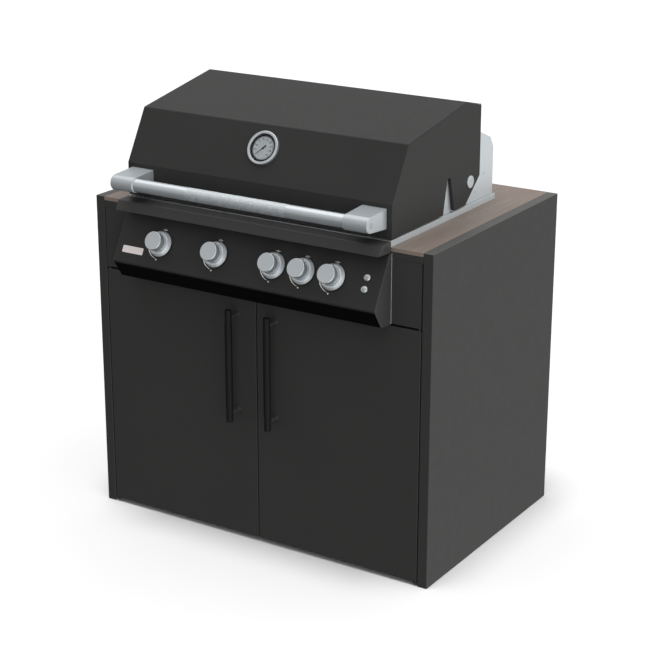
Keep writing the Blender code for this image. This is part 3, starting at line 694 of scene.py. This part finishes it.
def build_grates():
    """Cast grates: tapered bars on a rim, with two ribs below."""
    for side in ("left", "right"):
        low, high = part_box("grate_" + side)
        rim, wide, narrow, count = 12 * MM, 9 * MM, 4.5 * MM, 18
        pitch = (high.x - low.x - 2 * rim + wide) / count
        foot = low.z + 0.001
        bm = bmesh.new()
        section = [(-wide / 2, foot), (wide / 2, foot), (narrow / 2, high.z), (-narrow / 2, high.z)]
        for k in range(1, count):
            x = low.x + rim + k * pitch - wide / 2
            bar = rounded([(x + u, v) for u, v in section], [0.0, 0.0, 0.0015, 0.0015], 3)
            prism(bm, bar, (low.y + rim / 2, high.y - rim / 2), "Y")
        for y0, y1 in ((low.y, low.y + rim), (high.y - rim, high.y)):
            box(bm, (low.x, y0, low.z), (high.x, y1, high.z), 0.0015)
        for x0, x1 in ((low.x, low.x + rim), (high.x - rim, high.x)):
            box(bm, (x0, low.y + 0.001, low.z), (x1, high.y - 0.001, high.z - 0.0002), 0.0015)
        for share in (0.34, 0.66):
            y = low.y + (high.y - low.y) * share
            box(bm, (low.x + 0.002, y - 0.004, low.z), (high.x - 0.002, y + 0.004, high.z - 0.005), 0.001)
        piece(f"cast_grate_{side}", bm, IRON, "cabinet", replaces=["grate_" + side])


def build_rack():
    """Warming rack of welded wires."""
    low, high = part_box("warming_rack")
    radius, middle = (high.z - low.z) / 2, (low.z + high.z) / 2
    bm = bmesh.new()
    for y in (low.y + radius, high.y - radius):
        rod(bm, (low.x, y, middle), (high.x, y, middle), radius, 12)
    for x in (low.x + radius, high.x - radius):
        rod(bm, (x, low.y + radius, middle), (x, high.y - radius, middle), radius, 12)
    count, wire = 44, 0.0013
    for k in range(1, count):
        x = low.x + (high.x - low.x) * k / count
        rod(bm, (x, low.y + radius, high.z - wire), (x, high.y - radius, high.z - wire), wire, 8)
    piece("wire_rack", bm, HEATED, "cabinet", replaces=["warming_rack"])


def build_tube_burner(number):
    """A steel tube with two rows of gas ports, which are black discs on the tube: painted shade standing in
    for the holes.
    """
    low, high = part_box(f"burner_{number}")
    radius, length = (high.x - low.x) / 2, high.y - low.y
    wall, rim = 0.0012, 0.0020
    axis = standing(((low.x + high.x) / 2, low.y, (low.z + high.z) / 2), (0, 1, 0))
    profile = [(0.0, length), (radius - rim, length), *arc((radius - rim, length - rim), rim, 90, 0, 4),
               (radius, 0.0), (radius - wall, 0.0), (radius - wall, length - 0.003), (0.0, length - 0.003)]
    bm = bmesh.new()
    turned(bm, profile, axis, 40)
    piece(f"tube_burner_{number}", bm, HEATED, "cabinet", replaces=[f"burner_{number}"])
    ports, first, pitch = 36, 0.080, 0.011  # in a row, where it starts, and from port to port
    bm = bmesh.new()
    for k in range(ports):
        middle = Vector((axis.translation.x, low.y + first + pitch * k, axis.translation.z))
        for tilt in (math.radians(-35), math.radians(35)):
            out = Vector((math.sin(tilt), 0.0, math.cos(tilt)))
            start = middle + out * (radius - 0.0004)
            rod(bm, start, start + out * 0.0005, 0.0012, 8)
    # the ports' black is painted shade
    piece(f"gas_ports_{number}", bm, PAINTED_SHADE, "cabinet")


def build_rear_burner():
    """A steel frame with guard rods, in front of a row of ceramic tiles."""
    low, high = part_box("rear_burner")
    rim, tiles = 0.010, 8
    lip = low.y + 0.0065
    bm = bmesh.new()
    box(bm, (low.x, low.y + 0.006, low.z), (high.x, high.y, high.z), 0.0008)
    for z0, z1 in ((low.z, low.z + rim), (high.z - rim, high.z)):
        box(bm, (low.x, low.y, z0), (high.x, lip, z1), 0.0008)
    for x0, x1 in ((low.x, low.x + rim), (high.x - rim, high.x)):
        box(bm, (x0, low.y + 0.0002, low.z + 0.001), (x1, lip, high.z - 0.001), 0.0008)
    for share in (0.3, 0.5, 0.7):
        y, z = low.y + 0.002, low.z + (high.z - low.z) * share
        rod(bm, (low.x + rim / 2, y, z), (high.x - rim / 2, y, z), 0.0014, 10)
    piece("rear_burner_frame", bm, HEATED, "cabinet", replaces=["rear_burner"])
    bm = bmesh.new()
    width = (high.x - low.x - 2 * rim) / tiles
    for k in range(tiles):
        x = low.x + rim + width * k
        box(bm, (x + 0.0004, low.y + 0.0045, low.z + rim), (x + width - 0.0004, lip, high.z - rim), 0.0004)
    piece("rear_burner_tiles", bm, CERAMIC, "cabinet")


# -------------------------------------------------------------- control panel
def panel_point(y, z):
    """A (y, z) point measured from the panel's lowest corner."""
    return panel_low.y + y, panel_low.z + z


PANEL_FOLDS = [panel_point(0.0, 0.0546), panel_point(0.0335, 0.0049)]  # its two lower folds


def build_panel():
    """The folded control panel, with a hole for each knob and button."""
    outline = [panel_point(0.0793, 0.1865), panel_point(0.0697, 0.1865), *PANEL_FOLDS,
               panel_point(0.0793, 0.0)]
    panel = open_pan("folded_panel", rounded(outline, [0.0, 0.0, 0.0055, 0.0045, 0.0], 6),
                     (panel_low.x, panel_high.x), lambda n: n.y > 0.95 or n.z > 0.95,
                     PANEL, "cabinet", ["control_panel"])
    applied(panel)
    stem, button = 0.0060, 0.0099  # the holes' radii
    holes = [(stem, knob_frame(number)) for number in KNOBS]
    holes += [(button, button_frame(name)) for name in BUTTONS]
    drill(panel, holes)


def build_band():
    """The rounded band above the panel, with louvres in its right end drawn as black slats (painted shade),
    and a lighter rod along its lower edge (painted highlight).
    """
    low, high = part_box("panel_band")
    outline = [(low.y + y, low.z + z) for y, z in
               ((0.0566, 0.0289), (0.0136, 0.0278), (0.0, 0.0039), (0.0566, 0.0))]
    # the band's enamel carries painted light
    open_pan("rounded_band", rounded(outline, [0.0, 0.0050, 0.0014, 0.0], 6), (low.x, high.x),
             lambda n: n.y > 0.9, BAND_PAINTED_LIGHT, "cabinet", ["panel_band"])
    # the louvres: black slats as painted shade
    bm = bmesh.new()
    for k in range(3):
        middle = Vector((high.x, low.y + 0.026 + 0.007 * k, low.z + 0.0155))
        turn = Matrix.Translation(middle) @ Matrix.Rotation(math.radians(40), 4, "X")
        box(bm, (-0.0004, -0.0008, -0.0070), (0.0003, 0.0008, 0.0070), 0.0003, turn)
    piece("band_louvres", bm, PAINTED_SHADE, "cabinet")
    # a lighter rod along the lower edge: a painted highlight
    y, z = low.y + 0.0012, low.z + 0.0034
    bm = bmesh.new()
    rod(bm, (low.x + 0.002, y, z), (high.x - 0.002, y, z), 0.0009, 10)
    piece("band_lip_highlight", bm, PAINTED_EDGE_LIGHT, "cabinet")


def build_panel_fittings():
    """Rails at the panel's ends, the seam under it, and a blank badge."""
    bm = bmesh.new()
    for side in (-1, 1):
        x = side * (panel_high.x + 0.0005)
        box(bm, (x - 0.0004, panel_high.y - 0.0018, panel_low.z + 0.0035),
            (x + 0.0004, panel_high.y, panel_high.z), 0.0002)
    piece("panel_side_rails", bm, TRIM, "cabinet")
    seam = [(nose + heel) / 2 for nose, heel in zip(*PANEL_FOLDS)]
    reach = 0.300  # half the seam's length
    bm = bmesh.new()
    rod(bm, (-reach, *seam), (reach, *seam), 0.0006, 8)
    piece("underside_seam", bm, PANEL, "cabinet")
    half = Vector((0.0335, 0.0094))
    beside = Vector((-0.0843, -0.0298, 0.0))  # from the first knob to the badge
    badge = standing(knob_frame(1) @ beside, UP_PANEL)
    bm = bmesh.new()
    prism(bm, rounded(rectangle(-half, half), 0.0020, 5), (0.0001, 0.0011), edge=0.0003)
    piece("blank_badge", bm, BADGE, "cabinet", badge)
    bm = bmesh.new()
    for x in (-0.0295, 0.0295):
        add_screw(bm, (x, 0.0, 0.0010), (0, 0, 1), 0.0014)
    piece("badge_rivets", bm, SCREW, "cabinet", badge)


def flame(size):
    """A plain flame outline that stands on the origin."""
    right = [(0.0, 0.0), (0.34, 0.06), (0.50, 0.34), (0.44, 0.60), (0.24, 0.84), (0.16, 1.10)]
    left = [(-0.10, 0.82), (-0.22, 0.66), (-0.42, 0.52), (-0.46, 0.26), (-0.30, 0.05)]
    return [(u * size, v * size) for u, v in right + left]


def add_knob_marks(bm):
    """A knob's printed arc, which grows wider, its flame and its off mark."""
    radius, start, end = 0.0408, 204, 260  # the arc's edge, and its ends in degrees
    width, fade = 0.0033, 26  # its width at the start, and the steps that would take it to nothing
    outer = arc((0.0, 0.0), radius, start, end, 20)
    inner = []
    for k, (u, v) in enumerate(outer):
        share = 1 - width * (1 - k / fade) / radius
        inner.append((u * share, v * share))
    prism(bm, outer + inner[::-1], PRINTED)
    reach, turn = radius + 0.0022, math.radians(265)
    foot_u, foot_v = reach * math.cos(turn), reach * math.sin(turn) - 0.0020
    prism(bm, [(u + foot_u, v + foot_v) for u, v in flame(0.0042)], PRINTED)
    off = Matrix.Translation((0.0022, 0.0391, 0.0))
    turned(bm, washer(0.0014, 0.0026, *PRINTED), off, 24)
    for shift in (-0.0052, 0.0052):
        box(bm, (shift - 0.0017, -0.0008, PRINTED[0]), (shift + 0.0017, 0.0008, PRINTED[1]), 0.0, off)


def build_knobs():
    """Turned knobs on stepped skirts, and the printed marks round them."""
    face, body, skirt, foot, rise = 0.0410, 0.0252, 0.0306, 0.0346, 0.0040
    step, bevel = 0.0154, 0.0019  # the skirt's top and the face's rounded edge
    hollow, hub, socket = 0.0225, 0.0065, 0.0034
    grip = [(0.0, face - 0.0002), (body - bevel, face), *arc((body - bevel, face - bevel), bevel, 80, 0, 5),
            (body, rise + 0.0002), (hollow, rise + 0.0002), (hollow, face - 0.0030), (hub, face - 0.0030),
            (hub, 0.0062), (socket, 0.0062), (socket, 0.0240), (0.0, 0.0240)]
    inside = body + 0.0002
    base = [(inside, step - 0.0006), (inside + 0.0006, step), (skirt - 0.0007, step), (skirt, step - 0.0006),
            (foot, 0.0056), (foot, rise + 0.0004), (foot - 0.0004, rise), (inside, rise),
            (inside, step - 0.0006)]
    dot = 0.0281  # how far out the skirt's dot lies
    for number in KNOBS:
        place, knob = knob_frame(number), f"knob_{number}"  # the body and the node it replaces
        lathed(f"turned_knob_{number}", grip, 96, KNOB, knob, place, [knob])
        lathed(f"knob_skirt_{number}", base, 96, SKIRT, knob, place)
        bm = bmesh.new()
        rod(bm, (0, dot, step - 0.0002), (0, dot, step + 0.0001), 0.0014, 16)
        box(bm, (-0.0007, body - 0.0002, 0.0172), (0.0007, body + 0.00015, 0.0330), 0.0001)
        piece(f"knob_pointer_{number}", bm, INK, knob, place)
        bm = bmesh.new()
        add_knob_marks(bm)
        piece(f"panel_marks_{number}", bm, MARK, "cabinet", place)


def button_frame(name):
    """On the panel's surface, in the middle of a push button."""
    low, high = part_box("push_button_" + name)
    return standing((low + high) / 2 + UP_PANEL * (BUTTON_TAIL - BUTTON_HEAD) / 2, UP_PANEL)


def build_buttons():
    """Domed push buttons, each with a short slanted mark."""
    radius, head = 0.0093, BUTTON_HEAD
    profile = [(0.0, head), (0.0030, head - 0.0001), (0.0055, head - 0.0004), (0.0074, head - 0.0009),
               (0.0085, head - 0.0016), (0.0091, head - 0.0024), (radius, head - 0.0034),
               (radius, -BUTTON_TAIL), (0.0, -BUTTON_TAIL)]
    slant = Matrix.Rotation(math.radians(40), 4, "Z")
    for name in BUTTONS:
        place, body = button_frame(name), f"button_{name}"
        lathed(f"chrome_button_{name}", profile, 64, CHROME, body, place,
               [f"push_button_{name}"])
        bm = bmesh.new()
        box(bm, (-0.0030, -0.00045, head - 0.0003), (0.0030, 0.00045, head + 0.00005), 0.0001, slant)
        piece(f"button_mark_{name}", bm, INK, body, place)


# ------------------------------------------------------------------------ lid
def build_lid():
    """One folded sheet over the front, the slopes and the top, on two sides."""
    outer = rounded(LID_PROFILE, LID_FOLDS, 6, closed=False)
    bm = bmesh.new()
    prism(bm, outer + inset(outer, SHEET_GAUGE)[::-1], (lid_low.x, lid_high.x), "X", 0.0004)
    piece("folded_lid", bm, LID, "lid", replaces=["lid_shell"])
    tail = [lid_point(*spot) for spot in
            ((0.4562, 0.0662), (0.3797, 0.0), (0.3182, 0.0), (0.2967, 0.0921), (0.2802, 0.0921),
             (0.2602, 0.0))]
    outline = rounded(inset(LID_PROFILE, SHEET_GAUGE + CLEAR) + tail,
                      [0.002, 0.003, 0.006, 0.006, 0.004, 0.008, 0.008, 0.003, 0.005, 0.005, 0.003], 5)
    _, pivot_y, pivot_z = JOINTS["lid_hinge"]["pos_m"]
    pin_hole = 0.0065  # its radius
    for side, name in ((-1, "left"), (1, "right")):
        low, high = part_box("lid_side_" + name)
        sheet = open_pan("lid_cheek_" + name, outline, (low.x, high.x), lambda n, s=side: n.x * s < -0.9,
                         LID, "lid", ["lid_side_" + name])
        applied(sheet)
        outside = high.x if side > 0 else low.x
        drill(sheet, [(pin_hole, standing((outside, pivot_y, pivot_z), (side, 0, 0)))])
        build_hinge_disc(side, name, pivot_y, pivot_z)


def build_hinge_disc(side, name, pivot_y, pivot_z):
    """A dished disc outside the lid's side, on its pin."""
    low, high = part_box("lid_pivot_" + name)
    disc, pin, thick, rim = (high.z - low.z) / 2, 0.006, 0.004, 0.0016
    length = high.x - low.x
    profile = [(0.0, length - 0.0010), (0.0036, length - 0.0010), (0.0042, length), (disc - rim, length),
               *arc((disc - rim, length - rim), rim, 80, 0, 4), (disc, length - thick),
               (pin, length - thick), (pin, 0.0005), (pin - 0.0005, 0.0), (0.0, 0.0)]
    start = standing((high.x if side < 0 else low.x, pivot_y, pivot_z), (side, 0, 0))
    lathed("hinge_disc_" + name, profile, 48, SCREW, "lid", start, ["lid_pivot_" + name])


def add_knurl(bm, radius, depth, half):
    """A tube round Z with closed ends and a diamond pattern pressed in."""
    rings, around = 190, 72
    grid = []
    for i in range(rings + 1):
        height = -half + 2 * half * i / rings
        row = []
        for j in range(around):
            turn = 2 * math.pi * j / around
            out = radius - (depth if (i + j) % 2 else 0.0)
            row.append(bm.verts.new((out * math.cos(turn), out * math.sin(turn), height)))
        grid.append(row)
    for i in range(rings):
        for j in range(around):
            k = (j + 1) % around
            corners = (grid[i][j], grid[i][k], grid[i + 1][k], grid[i + 1][j])
            if (i + j) % 2:  # split each cell along its ridge
                bm.faces.new((corners[0], corners[1], corners[3]))
                bm.faces.new((corners[1], corners[2], corners[3]))
            else:
                bm.faces.new((corners[0], corners[1], corners[2]))
                bm.faces.new((corners[0], corners[2], corners[3]))
    bm.faces.new(grid[0][::-1])
    bm.faces.new(grid[-1])


def build_handle():
    """A knurled tube between two rounded end blocks."""
    bar_low, bar_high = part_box("handle_bar")
    radius, end = (bar_high.z - bar_low.z) / 2, bar_high.x
    axis = Vector((0.0, (bar_low.y + bar_high.y) / 2, (bar_low.z + bar_high.z) / 2))
    place = standing(axis, (1, 0, 0))
    grip, depth = 0.152, 0.00036  # the knurled part's half length, and the knurl's depth
    bore = radius - 0.0020
    bm = bmesh.new()
    for side in (-1, 1):
        profile = [(bore, end), (radius - 0.0003, end), (radius, end - 0.0003),
                   (radius, grip + 0.0006), (radius - depth, grip), (bore, grip)]
        turned(bm, [(out, side * along) for out, along in profile], None, 72)
    piece("smooth_grip_ends", bm, GRIP, "lid", place, ["handle_bar"])
    bm = bmesh.new()
    add_knurl(bm, radius, depth, grip)
    piece("knurled_grip", bm, KNURL, "lid", place, sharp=20.0)
    for side, name in ((-1, "left"), (1, "right")):
        low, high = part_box("handle_block_" + name)
        nose = arc((axis.y, axis.z), axis.y - low.y, 88, 266, 24)
        bm = bmesh.new()
        prism(bm, [(high.y, high.z), *nose, (high.y, low.z)], (low.x, high.x), "X", 0.0014, segments=3)
        piece("grip_block_" + name, bm, BLOCK, "lid", replaces=["handle_block_" + name])
        inner, outer = (low.x, high.x) if side > 0 else (high.x, low.x)
        close, wide = radius + 0.0002, radius + 0.0012
        ring = [(close, 0.0), (close, 0.0008), (wide, 0.0001), (wide, 0.0), (close, 0.0)]
        bm = bmesh.new()
        turned(bm, ring, standing((inner, axis.y, axis.z), (-side, 0, 0)), 64)
        screw = standing((outer, axis.y, axis.z), (side, 0, 0))
        turned(bm, [(0.0, -0.0006), (0.0016, -0.0006), (0.0016, 0.0005), (0.0040, 0.0005), (0.0045, 0.0001),
                    (0.0045, -0.0010), (0.0, -0.0010)], screw, 32)
        piece("grip_ring_" + name, bm, SCREW, "lid")
        # black ring and hex socket: painted shade in the groove and socket
        bm = bmesh.new()
        turned(bm, washer(0.0046, 0.0056, -0.0004, 0.0002), screw, 32)
        turned(bm, [(0.0, -0.0004), (0.0015, -0.0004), (0.0015, -0.0005), (0.0, -0.0005)], screw, 6)
        piece("screw_groove_" + name, bm, PAINTED_SHADE, "lid")


SCALE_START, SCALE_SWEEP = 225, 270  # the dial's scale, in degrees
DIAL_PRINT = (0.00352, 0.00362)  # where the dial's print lies


def build_gauge():
    """Round thermometer: a bright bezel, a grey dial under glass, and its pin."""
    bezel, glass = 0.0450, 0.0385
    pin, tip = 0.0060, -0.0400
    profile = [(0.0, 0.0020), (glass, 0.0020), (glass, 0.0074), (0.0380, 0.0074), (0.0378, 0.0076),
               (0.0384, 0.0082), (0.0400, 0.0085), *arc((bezel - 0.0018, 0.0067), 0.0018, 90, 0, 6),
               (bezel, CLEAR), (pin, CLEAR), (pin, tip + 0.0004), (pin - 0.0004, tip), (0.0, tip)]
    lathed("gauge_bezel", profile, 96, CHROME, "lid", GAUGE, ["thermometer_housing"])
    # black ring: painted shade in the gap between dial and bezel
    lathed("gauge_recess", washer(0.0311, 0.0383, 0.0021, 0.0023), 96, PAINTED_SHADE, "lid", GAUGE)
    profile = [(0.0, 0.0035), (0.0307, 0.0035), (0.0310, 0.0032), (0.0310, 0.0023), (0.0, 0.0023)]
    lathed("gauge_face", profile, 96, DIAL, "lid", GAUGE, ["thermometer_dial"])
    profile = [(0.0, 0.0074), (0.0300, 0.0073), (0.0378, 0.0070), (0.0381, 0.0064), (0.0, 0.0064)]
    lathed("gauge_window", profile, 96, GLASS, "lid", GAUGE, ["thermometer_glass"])


def build_scale():
    """Ticks round the dial, every fourth of them long, and numbers."""
    ticks, numbers, ring = 37, 10, 0.0222
    low, high = DIAL_PRINT
    bm = bmesh.new()
    for k in range(ticks):
        turn = Matrix.Rotation(math.radians(SCALE_START - SCALE_SWEEP * k / (ticks - 1)), 4, "Z")
        start, half = (0.0272, 0.00018) if k % 4 else (0.0250, 0.00045)
        box(bm, (start, -half, low), (0.0292, half, high), 0.0, turn)
    turned(bm, washer(0.0293, 0.0297, low, high), None, 96)
    turned(bm, [(0.0, high), (0.0030, high), (0.0030, low), (0.0, low)], None, 32)
    piece("gauge_ticks", bm, INK, "lid", GAUGE)
    for k in range(numbers):
        angle = math.radians(SCALE_START - SCALE_SWEEP * k / (numbers - 1))
        text = bpy.data.curves.new("number", "FONT")
        text.body = str(50 * k)
        text.size = 0.0050
        text.align_x = "CENTER"
        text.align_y = "CENTER"
        text.extrude = 0.00004
        shape = shown("number", text)
        bpy.context.view_layer.update()
        mesh = bpy.data.meshes.new_from_object(shape.evaluated_get(bpy.context.evaluated_depsgraph_get()))
        bpy.data.objects.remove(shape, do_unlink=True)
        place = (ring * math.cos(angle), ring * math.sin(angle), low + 0.00005)
        mesh.transform(Matrix.Translation(place))
        bm = bmesh.new()
        bm.from_mesh(mesh)
        bpy.data.meshes.remove(mesh)
        bmesh.ops.remove_doubles(bm, verts=bm.verts, dist=1e-7)
        piece(f"gauge_number_{k}", bm, INK, "lid", GAUGE)


def build_needle():
    """A tapered blade with a round tail, on a hub."""
    blade = [(0.0245, -0.00030), (0.0245, 0.00030), (0.0, 0.0010), *arc((-0.0085, 0.0), 0.0020, 60, 300, 12),
             (0.0, -0.0010)]
    low, high = 0.0043, 0.0049
    bm = bmesh.new()
    prism(bm, blade, (low, high), "Z", 0.0, Matrix.Rotation(math.radians(SCALE_START), 4, "Z"))
    turned(bm, [(0.0, 0.0055), (0.0016, 0.0054), (0.0022, high), (0.0022, low), (0.0, low)], None, 32)
    piece("gauge_pointer", bm, INK, "needle", GAUGE, ["thermometer_needle"])


# ------------------------------------------------------------- floor and light
GLOW = 1.42  # the glow's strength
GLOW_TURN = math.radians(11.0)  # how far it stands towards the front
RISE = ((0.43, 0.03), (0.50, 0.33), (0.68, 0.38), (1.0, 1.00))  # the sky's tone by height
FADE = ((0.55, 1.00), (0.78, 0.00))  # the glow's share by height
SPREAD = ((0.55, 0.00), (0.72, GLOW), (1.0, GLOW * 1.1))  # the glow by direction


def build_stage():
    """A plain pale floor, wide enough to fill the view, in its own group."""
    look = Surface("pale_floor", (0.68, 0.68, 0.68), 0.92, specular=0.0)
    look.tint(look.ranged(look.noise(0.60), 0.0, 0.4), (0.70, 0.70, 0.70))
    half = Vector((25.0, 25.0))
    bm = bmesh.new()
    prism(bm, rectangle(-half, half), (-0.050, -0.0002), edge=0.01)
    mesh = finished(bm, "pale_floor")
    mesh.materials.append(look.material)
    floor = bpy.data.objects.new("pale_floor", mesh)
    group = bpy.data.collections.new("stage")
    bpy.context.scene.collection.children.link(group)
    group.objects.link(floor)
    floor.visible_diffuse = floor.visible_glossy = False  # no light comes up from it
    return group


def add_sun(name, towards, strength, spread, group, state):
    """A broad lamp that lights just the group (INCLUDE) or all but it (EXCLUDE)."""
    lamp = bpy.data.lights.new(name, "SUN")
    lamp.energy = strength
    lamp.angle = math.radians(spread)
    item = shown(name, lamp)
    item.rotation_mode = "QUATERNION"
    item.rotation_quaternion = Vector(towards).to_track_quat("-Z", "Y")
    lit = bpy.data.collections.new(name + "_lights")
    lit.children.link(group)
    lit.collection_children[0].light_linking.link_state = state
    item.light_linking.receiver_collection = lit


def make_sky():
    """A soft sky that darkens below the horizon, with a broad glow at the
    right. The camera sees it as plain white."""
    world = bpy.data.worlds.new("surround")
    bpy.context.scene.world = world
    world.use_nodes = True
    nodes, link = world.node_tree.nodes, world.node_tree.links.new
    spot = nodes.new("ShaderNodeTexCoord").outputs["Generated"]
    parts = nodes.new("ShaderNodeSeparateXYZ")
    link(spot, parts.inputs[0])
    height = parts.outputs["Z"]
    sideways = nodes.new("ShaderNodeVectorMath")
    sideways.operation = "DOT_PRODUCT"
    sideways.inputs[1].default_value = (math.cos(GLOW_TURN), -math.sin(GLOW_TURN), 0.0)
    link(spot, sideways.inputs[0])
    glow = nodes.new("ShaderNodeVectorMath")  # spread x fade + rise
    glow.operation = "MULTIPLY_ADD"
    ramps = ((sideways.outputs["Value"], SPREAD), (height, FADE), (height, RISE))
    for socket, (value, stops) in zip(glow.inputs, ramps):
        share = nodes.new("ShaderNodeMapRange")
        share.inputs["From Min"].default_value = -1.0
        shade = nodes.new("ShaderNodeValToRGB")
        elements = shade.color_ramp.elements
        for number, (place, level) in enumerate(stops):
            if number < 2:
                element = elements[number]
                element.position = place
            else:
                element = elements.new(place)
            element.color = (level, level, level, 1.0)
        link(value, share.inputs["Value"])
        link(share.outputs["Result"], shade.inputs["Fac"])
        link(shade.outputs["Color"], socket)
    plain = nodes.new("ShaderNodeMix")
    plain.data_type = "RGBA"
    plain.inputs[MIX_B].default_value = (1.0, 1.0, 1.0, 1.0)
    link(nodes.new("ShaderNodeLightPath").outputs["Is Camera Ray"], plain.inputs[0])
    link(glow.outputs[0], plain.inputs[MIX_A])
    link(plain.outputs[MIX_RESULT], nodes["Background"].inputs["Color"])


def light_stage(group):
    """The sky, a wide lamp above the object, and a narrower one for the floor."""
    make_sky()
    add_sun("overhead", (0.0, -0.25, -1.0), 1.56, 90, group, "EXCLUDE")
    add_sun("floor_fill", (-0.01, 0.09, -1.0), 2.65, 16, group, "INCLUDE")
    bpy.context.scene.view_settings.view_transform = "Standard"
    bpy.context.scene.view_settings.look = "None"


def place_camera():
    """The camera of the main view: where it stands, and its three turns."""
    lens = bpy.data.cameras.new("camera")
    lens.sensor_width = 36.0
    lens.lens = 98.73
    lens.clip_end = 100.0
    item = shown("camera", lens)
    item.location = (2.52204, -3.92495, 2.14492)
    turn, drop, roll = math.radians(32.461), math.radians(18.962), math.radians(0.076)
    level = Matrix.Rotation(turn, 4, "Z") @ Matrix.Rotation(math.pi / 2 - drop, 4, "X")
    item.rotation_euler = (level @ Matrix.Rotation(roll, 4, "Z")).to_euler()
    bpy.context.scene.camera = item


dress_cabinet()
build_door_handles()
dress_firebox()
build_trim()
build_grates()
build_rack()
for burner in range(1, 5):
    build_tube_burner(burner)
build_rear_burner()
build_panel()
build_band()
build_panel_fittings()
build_knobs()
build_buttons()
build_lid()
build_handle()
build_gauge()
build_scale()
build_needle()
light_stage(build_stage())
place_camera()
